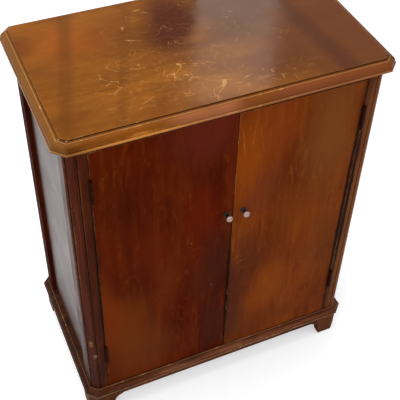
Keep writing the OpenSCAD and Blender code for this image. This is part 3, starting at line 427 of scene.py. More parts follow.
def wornEdges(recipe, look, base):
    # grime and painted shade darkening the hollows; chipped, rubbed varnish on the arrises, with a painted
    # highlight along them on some looks; all by the attribute "wear"
    edge = recipe.worn()
    stretch = recipe.ramp(recipe.noise(recipe.coord, 13, 3, 0.6), 0.4, 0.62)
    chips = recipe.times(recipe.ramp(recipe.noise(recipe.coord, 52, 5, 0.72, 0.6), 0.5, 0.68), stretch)
    # between the chips: rubbed varnish, and where steady wear is set high a painted highlight
    amount = recipe.math("ADD", recipe.times(chips, look["worn"]), look["worn"] * look["steadyRubAndSheen"])
    rubbedAndSheen = recipe.times(recipe.math("MAXIMUM", edge, 0), amount)
    hollow = recipe.math("MAXIMUM", recipe.times(edge, -1), 0)
    # grime and painted shade in the hollows
    base = recipe.wash(base, hollow, wearForm["grime"], darker(look["dark"], wearForm["hollowGrimeAndShadeTone"]))
    return recipe.blend(rubbedAndSheen, base, tone(*look["wear"])), rubbedAndSheen


def wood(name, settings):
    # varnished wood: grain, then stains with some painted highlights and shade, scuffs and marks, then what
    # use did to its edges, with painted shade in the hollows
    look = {**commonLook, **settings}
    recipe = Recipe(name)
    base, streak, pore = grainColour(recipe, look)
    base = stainsHighlightsAndShade(recipe, look, base)
    outside = recipe.ramp(recipe.facing(look["faces"]), 0.3, 0.7) if look["faces"] else 1
    if look["scuffs"]:
        base = scuffed(recipe, look, base, outside)
    if look["marks"]:
        base = marked(recipe, look, base, outside)
    base, rubbedAndSheen = wornEdges(recipe, look, base)
    # painted shade on the upright sides, such as the riser at the edge of the lid's field
    if look["darkSides"]:
        upright = recipe.ramp(recipe.math("ABSOLUTE", recipe.facing((0, 0, 1))), 0.35, 0.1)
        base = recipe.blend(upright, base, darker(look["dark"], wearForm["sideShade"]))
    recipe.put(recipe.shader.inputs["Base Color"], base)
    cloudy = recipe.noise(recipe.coord, 14, 4, 0.6)
    dull = recipe.ramp(cloudy, 0.3, 0.7, look["rough"] - 0.06, look["rough"] + 0.08)
    rough = recipe.math("ADD", dull, recipe.times(rubbedAndSheen, wearForm["matt"]))
    recipe.gloss(rough, look["specular"], 0, look["coat"], look["tint"], look["ior"])
    recipe.shader.inputs["Coat Roughness"].default_value = grainForm["coatRough"]
    height = recipe.math("ADD", recipe.times(pore, 0.5), recipe.times(streak, 0.5))
    recipe.bump(height, *grainForm["relief"])
    return recipe.material


metalForm = {
    "rubScale": 9,  # rubbing marks against tarnish
    "rubDrawn": (1, 1, 0.15),
    "polish": (0.8, 1.2),  # least and most roughness against the metal's own
    "tarnishMatt": 0.18,
    "relief": (0.08, 0.0002),
}
feltForm = {
    "colour": (44, 78, 50), "lint": (92, 120, 88),
    "fibreScale": 1400, "patchScale": 22, "patchy": 0.35, "patchShade": 0.7,
    "rough": 0.95, "specular": 0.1, "sheen": 0.4, "relief": (0.5, 0.0004),
}


def metal(name, clean, stain, rough, amount=0.5, scale=60, metallic=1.0, specular=0.5):
    # plated or cast metal with cloudy tarnish and fine rubbing marks
    recipe = Recipe(name)
    cloud = recipe.ramp(recipe.noise(recipe.coord, scale, 5, 0.65, 0.8), 0.42, 0.68)
    rub = recipe.noise(recipe.stretched(metalForm["rubDrawn"]), scale * metalForm["rubScale"], 2, 0.6)
    recipe.put(recipe.shader.inputs["Base Color"], recipe.wash(tone(*clean), cloud, amount, tone(*stain)))
    polish = recipe.ramp(rub, 0.3, 0.7, *[rough * share for share in metalForm["polish"]])
    matt = recipe.times(cloud, metalForm["tarnishMatt"])
    recipe.gloss(recipe.math("ADD", polish, matt), specular, metallic)
    recipe.bump(rub, *metalForm["relief"])
    return recipe.material


def felt(name):
    # pressed wool: short tangled fibres, a soft sheen and a little lint
    recipe = Recipe(name)
    fibre = recipe.noise(recipe.coord, feltForm["fibreScale"], 3, 0.7, 2)
    patchy = recipe.noise(recipe.coord, feltForm["patchScale"], 3, 0.6)
    base = recipe.blend(recipe.ramp(fibre, 0.35, 0.7), tone(*feltForm["colour"]), tone(*feltForm["lint"]))
    shade = darker(feltForm["colour"], feltForm["patchShade"])
    base = recipe.wash(base, recipe.ramp(patchy, 0.45, 0.75), feltForm["patchy"], shade)
    recipe.put(recipe.shader.inputs["Base Color"], base)
    recipe.gloss(feltForm["rough"], feltForm["specular"])
    recipe.shader.inputs["Sheen Weight"].default_value = feltForm["sheen"]
    recipe.bump(fibre, *feltForm["relief"])
    return recipe.material


frontFace = -0.163
lidTop = 0.756
unturned = (0, 0, 0)


def doorPatches(rows):
    return [((x, frontFace, z), (wide, 0.5, tall), (0, lean, 0), edge, strength, colour)
            for x, z, wide, tall, lean, edge, strength, colour in rows]


def doorMarks(rows):
    return [((x, frontFace, z), length, width, (0, lean, 0), strength, colour)
            for x, z, length, width, lean, strength, colour in rows]


def lidPatches(rows):
    return [((x, y, lidTop), (wide, deep, 0.5), (0, 0, turn), edge, strength, colour)
            for x, y, wide, deep, turn, edge, strength, colour in rows]


def lidMarks(rows):
    return [((x * mm, y * mm, lidTop), length * mm, width * mm, (0, 0, math.radians(turn)), strength, scratch)
            for x, y, length, width, turn, strength in rows]


# the case: posts, rails, mouldings, sides and back
caseWoods = {
    "rearPost": {
        "grain": "z", "dark": (36, 10, 4), "middle": (68, 23, 9), "light": (96, 40, 22),
        "specular": 0.5, "ior": 1.02, "tint": (1, 0.5, 0.2), "contrast": 0.9, "worn": 0.25,
    },
    "mahogany": {
        "grain": "z", "dark": (38, 11, 4), "middle": (72, 26, 9), "light": (104, 44, 22),
        "rough": 0.24, "specular": 0.6, "ior": 1.1, "tint": (1, 0.5, 0.2), "contrast": 0.9, "worn": 0.25,
        # the right front post painted lighter: a painted sheen
        "patches": [((0.33, -0.163, 0.42), (0.1, 0.2, 0.7), unturned, 0.4, 0.8, (118, 68, 34))],
        "marks": [
            ((-0.272, -0.165, 0.193), 0.012, 0.02, unturned, 0.7, (168, 122, 84)),
            ((-0.278, -0.16, 0.235), 0.008, 0.03, unturned, 0.7, (160, 112, 74)),
            # two long pale lines down the front left post: painted highlights
            ((-0.2665, -0.172, 0.6), 0.003, 0.3, unturned, 0.55, (120, 70, 34)),
            ((-0.283, -0.158, 0.5), 0.003, 0.42, unturned, 0.5, (130, 84, 52)),
            ((-0.27, -0.168, 0.735), 0.005, 0.03, unturned, 0.8, (150, 96, 44)),
            ((0.2562, -0.163, 0.4), 0.011, 0.72, unturned, 0.96, (8, 4, 2)),  # painted shadow in the gap beside the right door
            # painted shadow in the gap beside the left door
            ((-0.2528, -0.163, 0.4), 0.004, 0.72, unturned, 0.9, (8, 4, 2)),
        ],
    },
    "mahoganyX": {
        "grain": "x", "dark": (38, 10, 2), "middle": (76, 27, 8), "light": (112, 54, 22),
        "rough": 0.34, "specular": 0.3, "ior": 1.3,
    },
    "footWood": {
        "grain": "z", "dark": (54, 22, 6), "middle": (88, 42, 14), "light": (116, 64, 26),
        "specular": 0.3, "ior": 1.15, "tint": (1, 0.6, 0.3),
    },
    "bottomWood": {
        "grain": "x", "dark": (44, 18, 8), "middle": (72, 34, 16), "light": (104, 60, 32),
        "rough": 0.4, "specular": 0.5, "ior": 1.2, "tint": (1, 0.7, 0.5),
    },
    "plinthRing": {
        "grain": "x", "dark": (56, 22, 10), "middle": (102, 52, 30), "light": (150, 96, 66),
        "rough": 0.26, "specular": 0.5, "ior": 1.2, "tint": (1, 0.7, 0.45), "mottle": 0.5,
        # the left run of the plinth moulding painted darker: painted shade
        "patches": [((-0.315, 0, 0.07), (0.045, 0.4, 0.1), unturned, 0.5, 0.8, (44, 18, 10))],
    },
    "side_veneer": {
        "grain": "z", "dark": (38, 11, 5), "middle": (66, 24, 12), "light": (94, 48, 28),
        "rough": 0.4, "specular": 0.6, "ior": 1.35, "tint": (1, 0.95, 0.9), "coat": 0.5,
    },
    "plain_wood": {
        "grain": "x", "dark": (88, 50, 25), "middle": (118, 72, 39), "light": (144, 96, 56),
        "rough": 0.55, "specular": 0.5, "ior": 1.3, "tint": (1, 0.8, 0.6),
        "figure": 9, "contrast": 0.6, "mottle": 0.25, "wisps": 0.35,
    },
    "horn_wood": {
        "grain": "y", "dark": (140, 100, 60), "middle": (176, 134, 88), "light": (200, 162, 114),
        "rough": 0.6, "specular": 0.5, "ior": 1.3, "tint": (1, 0.9, 0.8),
    },
}

doorWoods = {
    "left_door_veneer": {
        "grain": "z", "dark": (60, 11, 1), "middle": (90, 24, 2), "light": (122, 50, 10),
        "specular": 0.5, "ior": 1.07, "tint": (1, 0.4, 0.1),
        "figure": 5, "contrast": 0.5, "mottle": 0.5, "wisps": 0.4, "faces": (0, -1, 0),
        "patches": doorPatches([  # x, z, half width, half height, lean, soft part, strength, colour
            (-0.235, 0.40, 0.05, 0.34, 0, 0.9, 0.35, (104, 38, 6)),
            (-0.20, 0.24, 0.07, 0.16, 0, 0.9, 0.6, (116, 54, 12)),
            (-0.245, 0.3, 0.045, 0.16, 0, 0.7, 0.6, (118, 46, 8)),
            (-0.16, 0.45, 0.06, 0.13, 0, 0.9, 0.5, (98, 32, 5)),
            (-0.10, 0.60, 0.04, 0.09, 0, 0.9, 0.45, (100, 34, 5)),
            (-0.12, 0.33, 0.05, 0.15, 0.1, 0.9, 0.55, (106, 40, 8)),
            (-0.045, 0.50, 0.05, 0.12, -0.1, 0.8, 0.5, (96, 22, 3)),
            (-0.06, 0.70, 0.1, 0.1, 0, 0.8, 0.7, (96, 34, 20)),
            (-0.183, 0.60, 0.05, 0.1, 0, 0.9, 0.5, (58, 14, 3)),
            (-0.03, 0.36, 0.06, 0.14, 0, 0.8, 0.6, (64, 27, 15)),
            (-0.02, 0.17, 0.06, 0.14, 0, 0.8, 0.55, (60, 26, 14)),
            (-0.17, 0.14, 0.1, 0.15, 0, 0.9, 0.6, (104, 50, 16)),
        ]),
        "marks": doorMarks([  # x, z, length, width, lean, strength, colour
            # painted shadow in the gap at the hinge edge
            (-0.2505, 0.40, 0.004, 0.7, 0, 0.85, (16, 6, 2)),
            (0.0045, 0.27, 0.009, 0.55, 0, 0.96, (10, 4, 2)),  # painted shadow in the gap between the doors
            (-0.105, 0.52, 0.04, 0.003, 1.35, 0.25, (150, 92, 52)),
            (-0.075, 0.44, 0.003, 0.006, 0.3, 0.6, (206, 170, 140)),
            (-0.03, 0.30, 0.004, 0.004, 0.3, 0.6, (206, 170, 140)),
            (-0.23, 0.66, 0.004, 0.004, 0.3, 0.5, (196, 150, 110)),
        ]),
    },
    "right_door_veneer": {
        "grain": "z", "dark": (88, 31, 5), "middle": (118, 51, 10), "light": (148, 80, 24),
        "specular": 0.5, "ior": 1.08, "tint": (1, 0.45, 0.15),
        "figure": 5, "contrast": 0.5, "mottle": 0.45, "wisps": 0.4, "faces": (0, -1, 0),
        "patches": doorPatches([
            (0.03, 0.62, 0.05, 0.14, 0.1, 0.8, 0.75, (138, 62, 6)),
            (0.015, 0.22, 0.045, 0.2, 0, 0.7, 0.7, (70, 28, 16)),
            (0.10, 0.24, 0.06, 0.13, 0.2, 0.8, 0.55, (134, 66, 14)),
            (0.07, 0.52, 0.05, 0.09, 0, 0.8, 0.45, (104, 46, 26)),
            (0.045, 0.34, 0.06, 0.12, 0, 0.8, 0.65, (78, 32, 16)),
            (0.03, 0.14, 0.06, 0.1, 0, 0.8, 0.55, (84, 40, 20)),
            (0.19, 0.64, 0.08, 0.24, 0, 0.9, 0.75, (118, 68, 26)),
            (0.21, 0.34, 0.06, 0.2, 0, 0.9, 0.6, (96, 48, 14)),
            (0.09, 0.66, 0.05, 0.1, 0, 0.9, 0.5, (126, 52, 16)),
            (0.14, 0.44, 0.06, 0.1, 0, 0.9, 0.5, (122, 58, 12)),
            (0.12, 0.12, 0.09, 0.05, 0, 0.9, 0.5, (96, 44, 16)),
        ]),
        "marks": doorMarks([
            # painted shadow in the gaps at the hinge edge and between the doors
            (0.2475, 0.42, 0.014, 0.9, 0, 0.95, (12, 5, 2)),
            (0.0075, 0.26, 0.005, 0.5, 0, 0.85, (20, 8, 4)),
            (0.018, 0.655, 0.10, 0.0035, 1.45, 0.45, (186, 104, 44)),
            (0.036, 0.665, 0.07, 0.004, 1.62, 0.4, (178, 100, 44)),
            (0.052, 0.655, 0.09, 0.003, 1.4, 0.35, (170, 96, 44)),
            (0.03, 0.345, 0.035, 0.0016, -0.25, 0.5, (176, 116, 80)),
            (0.034, 0.325, 0.03, 0.0014, 0.1, 0.4, (176, 116, 80)),
            (0.022, 0.36, 0.02, 0.0014, -0.4, 0.4, (176, 116, 80)),
        ]),
    },
}

lidWoods = {
    "lidRing": {
        "grain": "x", "dark": (62, 26, 6), "middle": (122, 66, 18), "light": (164, 100, 36),
        "rough": 0.17, "specular": 0.7, "ior": 1.14, "tint": (1, 0.7, 0.45), "contrast": 0.5,
        # its pale wear colour, shown steadily along the arrises, is partly a painted highlight
        "wear": (220, 160, 90), "worn": 0.8, "steadyRubAndSheen": 0.35,
        "patches": [
            # the left run of the moulding painted lighter and more golden: a painted sheen
            ((-0.305, 0, 0.745), (0.03, 0.5, 0.1), unturned, 0.4, 0.7, (124, 80, 34)),
            # the front left canted corner painted darker: painted shade on that facet
            ((-0.297, -0.171, 0.745), (0.012, 0.012, 0.1), unturned, 0.4, 0.5, (84, 52, 30)),
            ((0.13, -0.18, 0.745), (0.3, 0.04, 0.1), unturned, 0.8, 0.7, (128, 68, 40)),
            # painted highlights on the front of the ovolo: pinkish in the middle, orange on the left
            ((-0.05, -0.178, 0.745), (0.1, 0.03, 0.1), unturned, 0.8, 0.6, (176, 108, 70)),
            ((-0.2, -0.18, 0.745), (0.12, 0.04, 0.05), unturned, 0.8, 0.5, (140, 74, 12)),
        ],
        "marks": [
            # a long orange streak along the left of the front ovolo: a painted highlight
            ((-0.17, -0.1757, 0.744), 0.26, 0.006, unturned, 0.85, (190, 118, 44)),
            ((-0.289, -0.1505, 0.754), 0.004, 0.004, (0, 0, 0.5), 0.85, (220, 190, 150)),
            ((-0.279, -0.1605, 0.754), 0.004, 0.004, (0, 0, 0.5), 0.85, (220, 190, 150)),
        ],
    },
    "lid_veneer": {
        "grain": "x", "dark": (92, 46, 8), "middle": (130, 74, 16), "light": (158, 98, 32),
        "rough": 0.12, "specular": 0.5, "ior": 1.2, "tint": (1, 0.68, 0.4), "wear": (206, 160, 96),
        # its upright sides get painted shade
        "figure": 7, "contrast": 0.25, "mottle": 0.5, "faces": (0, 0, 1), "darkSides": True,
        "patches": lidPatches([  # x, y, half width, half depth, turn, soft part, strength, colour
            (-0.215, 0.09, 0.11, 0.09, 0, 0.9, 0.55, (152, 76, 14)),
            (0.24, -0.01, 0.17, 0.3, 0, 0.45, 0.85, (92, 48, 22)),
            (0.10, 0.10, 0.12, 0.16, -0.3, 0.6, 0.85, (72, 38, 16)),
            (0.095, -0.1, 0.08, 0.065, 0, 0.8, 0.75, (84, 42, 18)),
            (0.0, -0.11, 0.11, 0.07, -0.2, 0.8, 0.45, (140, 88, 38)),
            (0.12, -0.06, 0.12, 0.1, 0, 0.8, 0.6, (92, 50, 22)),
            (-0.026, 0.08, 0.062, 0.13, -0.3, 0.7, 0.92, (66, 20, 4)),
            (0.005, -0.058, 0.11, 0.045, -0.36, 0.8, 0.6, (98, 54, 26)),
            (0.062, -0.122, 0.05, 0.03, -0.3, 0.8, 0.4, (92, 50, 22)),
            (-0.14, 0.13, 0.09, 0.05, 0, 0.9, 0.35, (134, 80, 22)),
        ]),
        "bands": [
            ((-0.195, 0.139), (-0.268, -0.128), 0.003, 0.016, 0.55, (96, 50, 10)),
            ((-0.128, 0.011), (-0.178, -0.124), 0.002, 0.013, 0.35, (94, 50, 12)),
            ((0.19, 0.06), (0.206, -0.095), 0.006, 0.024, 0.65, (72, 36, 20)),
        ],
        "scuffs": [
            ((-0.06, -0.08, lidTop), (0.16, 0.10, 0.5), 0, 0.5),
            ((-0.16, -0.10, lidTop), (0.13, 0.10, 0.5), 0.3, 0.4),
            ((0.08, -0.13, lidTop), (0.14, 0.06, 0.5), 0, 0.35),
            ((-0.02, 0, lidTop), (0.3, 0.3, 0.5), 0, 0.2),
        ],
        "marks": lidMarks([  # x, y, length and width in millimetres, turn in degrees, strength
            (-63, 128, 26, 5, 12, 0.45), (-52, 116, 20, 2.2, -38, 0.6), (-105, 84, 16, 5, 70, 0.5),
            (-41, 62, 20, 2.2, 48, 0.5), (-104, 45, 24, 6, -22, 0.5), (-90, 38, 14, 3, -5, 0.5),
            (-84, -60, 24, 1.6, 66, 0.5), (-52, -70, 20, 1.6, -52, 0.6), (-44, -76, 18, 1.5, 62, 0.6),
            (-14, -110, 46, 1.4, -50, 0.45), (-179, -57, 24, 7, 22, 0.3), (-168, -75, 34, 3, 30, 0.3),
            (-130, -116, 38, 3, 24, 0.4), (-146, -130, 26, 2.4, 16, 0.3), (40, -118, 26, 6, 12, 0.3),
            (16, -128, 30, 5, -10, 0.3),
        ]),
    },
}

metals = {
    "dark_knob": {
        "clean": (34, 26, 22), "stain": (16, 12, 11), "rough": 0.34, "amount": 0.7, "scale": 120,
        "metallic": 0.5,
    },
    "knob_end": {
        "clean": (196, 168, 158), "stain": (104, 78, 68), "rough": 0.38, "amount": 0.6, "scale": 300,
    },
    "hinge_brass": {
        "clean": (46, 20, 10), "stain": (18, 8, 5), "rough": 0.6, "amount": 0.7, "scale": 90,
        "metallic": 0, "specular": 0.02,
    },
    "aged_brass": {"clean": (156, 122, 62), "stain": (74, 54, 30), "rough": 0.36, "amount": 0.6},
    "nickel": {"clean": (186, 182, 174), "stain": (104, 96, 84), "rough": 0.24, "amount": 0.45},
    "steel": {"clean": (150, 152, 155), "stain": (92, 88, 82), "rough": 0.32},
    "grey_iron": {"clean": (84, 86, 90), "stain": (58, 56, 54), "rough": 0.5, "metallic": 0.4},
}


def camel(key):
    first, *rest = key.split("_")
    return first + "".join(word.title() for word in rest)


finish = {key: wood(camel(key), look) for key, look in {**caseWoods, **doorWoods, **lidWoods}.items()}
finish.update({key: metal(camel(key), **look) for key, look in metals.items()})
finish["green_felt"] = felt("greenFelt")
print("finishes ready")


touching = 0.002 * mm  # points closer than this are merged


def putMesh(name, points, faces, material, body, replaced, crease, wear):
    # points (n, 3) and faces (m, 4) as arrays, joined where they meet, smooth but for creases
    mesh = bpy.data.meshes.new(name)
    mesh.vertices.add(len(points))
    mesh.vertices.foreach_set("co", np.asarray(points, np.float32).ravel())
    mesh.loops.add(faces.size)
    mesh.loops.foreach_set("vertex_index", faces.astype(np.int32).ravel())
    mesh.polygons.add(len(faces))
    mesh.polygons.foreach_set("loop_start", np.arange(0, faces.size, 4, dtype=np.int32))
    if wear is not None:
        layer = mesh.attributes.new("wear", "FLOAT", "POINT")
        layer.data.foreach_set("value", np.asarray(wear, np.float32).ravel())
    mesh.update(calc_edges=True)
    work = bmesh.new()
    work.from_mesh(mesh)
    bmesh.ops.remove_doubles(work, verts=work.verts, dist=touching)
    bmesh.ops.recalc_face_normals(work, faces=work.faces)
    work.to_mesh(mesh)
    work.free()
    mesh.shade_smooth()
    mesh.set_sharp_from_angle(angle=math.radians(crease))
    mesh.materials.append(material)
    piece = bpy.data.objects.new(name, mesh)
    bpy.context.collection.objects.link(piece)
    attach(piece, body)
    if replaced:
        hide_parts(*replaced)


def gridFaces(rows, columns, closeRows=False, closeColumns=False, first=0):
    # quads between the points of a rows x columns grid
    i = np.arange(rows if closeRows else rows - 1)
    j = np.arange(columns if closeColumns else columns - 1)
    i, j = np.meshgrid(i, j, indexing="ij")
    iNext, jNext = (i + 1) % rows, (j + 1) % columns
    corners = [i * columns + j, iNext * columns + j, iNext * columns + jNext, i * columns + jNext]
    return np.stack(corners, -1).reshape(-1, 4) + first


def joined(grids):
    # one set of points, faces and wear from several (grid, wear) with closed columns
    points, faces, wears, first = [], [], [], 0
    for grid, wear in grids:
        rows, columns = grid.shape[:2]
        points.append(grid.reshape(-1, 3))
        faces.append(gridFaces(rows, columns, closeColumns=True, first=first))
        wears.append(np.broadcast_to(wear, (rows, columns)).ravel())
        first += rows * columns
    return np.concatenate(points), np.concatenate(faces), np.concatenate(wears)


def arc(centre, reach, start, end, count=14):
    # points on an ellipse's stretch, angles in degrees
    a = np.radians(np.linspace(start, end, count))
    return np.stack([centre[0] + reach[0] * np.cos(a), centre[1] + reach[1] * np.sin(a)], -1)


# the wooden case keeps its solids' shape, with eased and worn arrises
easing = {
    "width": 0.5, "postWidth": 0.45,  # millimetres
    "segments": 2,
    "sharp": 28, "flat": 0.6,  # degrees: edges eased, and triangles joined into one face
    "narrow": 1.6 * mm,  # faces narrower than this lie on an arris or in a hollow
    "smallArea": 1200 * mm * mm,  # faces smaller than this are shaded smooth
    "gain": 3,  # wear per radian of an edge's bend
    "crease": 35,
}


def markEdges(mesh):
    # wear on the corners of each narrow face: 1 on an arris, -1 in a hollow where grime and painted shade go,
    # 0 on broad faces
    mesh.set_sharp_from_angle(angle=math.radians(easing["crease"]))
    work = bmesh.new()
    work.from_mesh(mesh)
    worn = np.zeros(len(mesh.loops), np.float32)
    for face in work.faces:
        around = face.calc_perimeter()
        face.smooth = face.calc_area() < easing["smallArea"]
        if 2 * face.calc_area() < easing["narrow"] * around:
            bend = sum(edge.calc_face_angle_signed(0) * edge.calc_length() for edge in face.edges) / around
            worn[[loop.index for loop in face.loops]] = np.clip(bend * easing["gain"], -1, 1)
    work.to_mesh(mesh)
    work.free()
    mesh.attributes.new("wear", "FLOAT", "CORNER").data.foreach_set("value", worn)


def easedCopy(node, material, width):
    # the node's own surface, its triangles joined, its arrises eased and marked for wear, its hollows for
    # grime and painted shade
    mesh = frame["nodes"][node].data.copy()
    work = bmesh.new()
    work.from_mesh(mesh)
    bmesh.ops.remove_doubles(work, verts=work.verts, dist=touching)
    flat = math.radians(easing["flat"])
    bmesh.ops.dissolve_limit(work, angle_limit=flat, verts=work.verts, edges=work.edges)
    work.to_mesh(mesh)
    work.free()
    mesh.materials.clear()
    mesh.materials.append(material)
    mesh.shade_smooth()
    piece = bpy.data.objects.new(node + "_finish", mesh)
    bpy.context.collection.objects.link(piece)
    ease = piece.modifiers.new("ease", "BEVEL")
    ease.width = width * mm
    ease.segments = easing["segments"]
    ease.limit_method = "ANGLE"
    ease.angle_limit = math.radians(easing["sharp"])
    ready = bpy.data.meshes.new_from_object(piece.evaluated_get(bpy.context.evaluated_depsgraph_get()))
    piece.modifiers.clear()
    piece.data = ready
    markEdges(ready)
    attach(piece, bodyOf[node])
    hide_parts(node)


for node in ("front_left_post", "front_right_post", "rear_left_post", "rear_right_post"):
    easedCopy(node, finish["mahogany" if "front" in node else "rearPost"], easing["postWidth"])
ownWood = {
    "top_frame": "mahoganyX",
    "base_frame": "footWood",
    "bracket_feet": "footWood",
    "bottom_board": "bottomWood",
}
for node in (*ownWood, "left_side_panel", "right_side_panel", "back_panel", "left_door_panel",
             "right_door_panel", "lid_panel", "motor_board", "record_shelf", "motor_fascia", "horn_frame",
             "record_dividers"):
    easedCopy(node, finish[ownWood.get(node, slotOf[node])], easing["width"])
print("case ready")

# the mouldings of lid and plinth; sizes in millimetres
legStep = 2 - math.sqrt(2)  # what a cant loses in leg when its outline moves in by 1
lidMould = {"width": 16, "rise": 17.8, "cant": 19.5, "seed": 1.0, "dents": 0.35}
plinthMould = {"width": 12, "cant": 19.03, "seed": 4.0, "dents": 0.9}
rowStep = 2.5 * mm
dents = {"waves": ((61, 23), (137, 71), (263, 191), (419, 307)), "rarity": 0.35, "drop": 0.5}


def ripple(u, v, seed):
    # a sum of sines of two coordinates in metres, between about -1 and 1
    total = 0
    for k, (a, b) in enumerate(dents["waves"]):
        total = total + np.sin(a * u + b * v * 1.7 + seed * (k + 1.3)) / (1 + k * 0.6)
    return total / 2.2


def cantedCorners(halfX, halfY, leg):
    # the eight corners of a rectangle with canted corners, as (8, 2), turning left from the right front
    x, y = halfX, halfY
    return np.array([[x, -y + leg], [x, y - leg], [x - leg, y], [-x + leg, y],
                     [-x, y - leg], [-x, -y + leg], [-x + leg, -y], [x - leg, -y]])


def mouldingRing(halfX, halfY, section, wearAndShadeLine, mould):
    # a section of (inset, height) points carried round a canted rectangle: for each inset the outline
    # moves in by it and its cants shrink by legStep of it; small dents press the worn arrises in
    insets, heights = section[:, 0], section[:, 1]
    leg = mould["cant"] * mm
    corners = np.stack([cantedCorners(halfX - d, halfY - d, leg - d * legStep) for d in insets])
    grids = []
    for k in range(8):
        start, end = corners[:, k], corners[:, (k + 1) % 8]
        count = max(8, int(np.linalg.norm(end[0] - start[0]) / rowStep))
        t = np.linspace(0, 1, count)[:, None, None]
        plan = start[None] * (1 - t) + end[None] * t
        height = np.broadcast_to(heights, (count, len(heights)))
        dented = np.clip(ripple(plan[..., 0], plan[..., 1], mould["seed"]) - dents["rarity"], 0, 1)
        press = dented * np.clip(wearAndShadeLine, 0, 1) * mould["dents"] * mm
        inward = -plan / np.linalg.norm(plan, axis=-1, keepdims=True)
        sunk = height - press * dents["drop"]
        grid = np.concatenate([plan + inward * press[..., None], sunk[..., None]], -1)
        grids.append((grid, wearAndShadeLine))
    return joined(grids)


def near(section, spots, reach):
    # 1 at the section's points on one of the spots and 0 a little way from them
    gaps = np.linalg.norm(section[:, None] - np.array(spots)[None], axis=-1).min(1)
    return np.clip(1.2 - gaps / reach, 0, 1)


def addMoulding(name, node, body, look, mould, section, wearAndShadeLine):
    low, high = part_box(node)
    placed = (section + [0, low[2] / mm]) * mm
    points, faces, wear = mouldingRing(high[0], high[1], placed, wearAndShadeLine, mould)
    putMesh(name, points, faces, finish[look], body, [node], 30, wear)


def makeLidMoulding():
    # from inside below: lip, fillet, ovolo, arris, and a shallow hollow up to the lid's field
    width, rise = lidMould["width"], lidMould["rise"]
    section = np.concatenate([
        [[width, 0], [1.3, 0]],
        arc((0.9, 0.9), (0.9, 0.9), 250, 190, 4),
        [[0, 3.2]],
        arc((0.8, 3.2), (0.8, 0.8), 175, 95, 4),
        [[1.5, 4.2], [1.7, 4.9]],
        arc((width - 5.8, 5.1), (width - 7.8, rise - 7.7), 180, 90, 22),
        [[width - 5.3, rise - 1.6], [width - 5, rise - 1.1], [width - 3.6, rise - 0.9],
         [width - 2.2, rise - 0.5], [width - 1.4, rise - 0.1], [width - 1.1, rise],
         [width - 0.5, rise], [width, rise]],
    ])
    arrises = [(0.3, 3.8), (width - 5, rise - 1.1), (0.4, 0.4)]
    hollows = [(1.6, 4.7), (width + 0.3, rise), (width - 0.8, rise), (width - 1.7, rise - 0.3)]
    lip = [(0, 1), (0, 2.2)]
    # below 0 the finish darkens with grime and painted shade: in the quirk above the fillet and at the foot
    # of the field; the lip is darkened a little too
    wearAndShadeLine = near(section, arrises, 1.3) - near(section, hollows, 1.3) * 0.5 - near(section, lip, 2) * 0.4
    addMoulding("lidMoulding", "lid_moulding", "lid", "lidRing", lidMould, section, wearAndShadeLine)


def makePlinthMoulding():
    # from inside below: lip, fillet, ovolo, arris, and a slope up to the case
    low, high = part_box("plinth_moulding")
    width, rise = plinthMould["width"], (high[2] - low[2]) / mm
    section = np.concatenate([
        [[width, 0], [0.9, 0]],
        arc((0.8, 0.8), (0.8, 0.8), 250, 190, 4),
        [[0, 3.2]],
        arc((0.8, 3.6), (0.8, 0.8), 170, 95, 4),
        [[1.3, 4.4]],
        arc((9.4, 4.6), (8, rise - 9), 180, 90, 18),
        [[10.1, rise - 3.6], [10.2, rise - 2.8], [10.5, rise - 2.3],
         [width - 0.4, rise - 0.1], [width, rise]],
    ])
    arrises = [(0.3, 3.9), (10.3, rise - 2.5), (0.4, 0.4)]
    hollows = [(1.3, 4.5), (9.8, rise - 4.4), (width, rise)]
    # below 0 the finish darkens with grime and painted shade: above the fillet, under the arris, and where
    # the moulding meets the case below the doors
    wearAndShadeLine = near(section, arrises, 1.3) - near(section, hollows, 0.9)
    addMoulding("plinthMoulding", "plinth_moulding", "cabinet", "plinthRing", plinthMould, section, wearAndShadeLine)


makeLidMoulding()
makePlinthMoulding()
print("mouldings ready")

# the turned knobs; sizes in millimetres
knobForm = {"end": 6.5, "length": 15.4, "tenon": 8.5, "count": 72, "crease": 50}


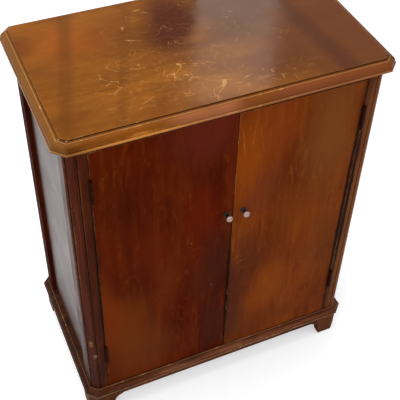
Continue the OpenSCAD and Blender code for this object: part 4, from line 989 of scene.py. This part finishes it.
def revolved(profile, centre, axis, count):
    # a (radius, height) profile turned about an axis through centre
    axis = np.array(axis, float) / np.linalg.norm(axis)
    side = np.cross(axis, [0, 0, 1] if abs(axis[2]) < 0.9 else [1, 0, 0])
    side /= np.linalg.norm(side)
    third = np.cross(axis, side)
    a = np.linspace(0, 2 * math.pi, count, endpoint=False)[:, None, None]
    ring = np.cos(a) * side + np.sin(a) * third
    return np.array(centre) + ring * profile[None, :, :1] + axis * profile[None, :, 1:]


def makeKnob(node, body):
    # collar and waisted neck, then an end with two rings and a small boss
    low, high = (np.array(v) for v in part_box(node))
    end, length = knobForm["end"], knobForm["length"]
    stem = np.concatenate([
        [[0, 0.05]],
        arc((end - 0.7, 0.7), (0.7, 0.7), -90, 60, 6),
        [[end * 0.82, 1.9], [end * 0.64, 2.6]],
        arc((end * 0.64 + 0.2, length * 0.36), (end * 0.1 + 0.2, 2.9), -80, -250, 10),
        [[end * 0.66, length * 0.52]],
    ])
    head = np.concatenate([
        [[end * 0.6, length * 0.5]],
        arc((end * 0.62, length * 0.78), (end * 0.38, length * 0.24), -80, 60, 14),
        [[end * 0.78, length], [end * 0.7, length - 0.5], [end * 0.6, length - 0.15],
         [end * 0.5, length - 0.7], [end * 0.32, length - 0.7], [end * 0.26, length - 0.2],
         [0, length - 0.1]],
    ])
    centre = ((low[0] + high[0]) / 2, high[1] - knobForm["tenon"] * mm, (low[2] + high[2]) / 2)
    for name, profile, look, old in (("Stem", stem, "dark_knob", [node]), ("End", head, "knob_end", [])):
        grid = revolved(profile * mm, centre, (0, -1, 0), knobForm["count"])
        faces = gridFaces(*grid.shape[:2], closeRows=True)
        putMesh(body.replace("_", "") + "Knob" + name, grid.reshape(-1, 3), faces, finish[look], body,
                old, knobForm["crease"], None)


makeKnob("left_door_knob", "left_door")
makeKnob("right_door_knob", "right_door")
print("knobs ready")

# what keeps its solid's own surface
darkHinges = ("door_hinge_fixed_leaves", "hinge_pins", "left_door_hinge_leaves", "right_door_hinge_leaves")
for node, piece in frame["nodes"].items():
    if not piece.hide_render:
        piece.data.materials.clear()
        piece.data.materials.append(finish["hinge_brass" if node in darkHinges else slotOf[node]])
print("all pieces finished")
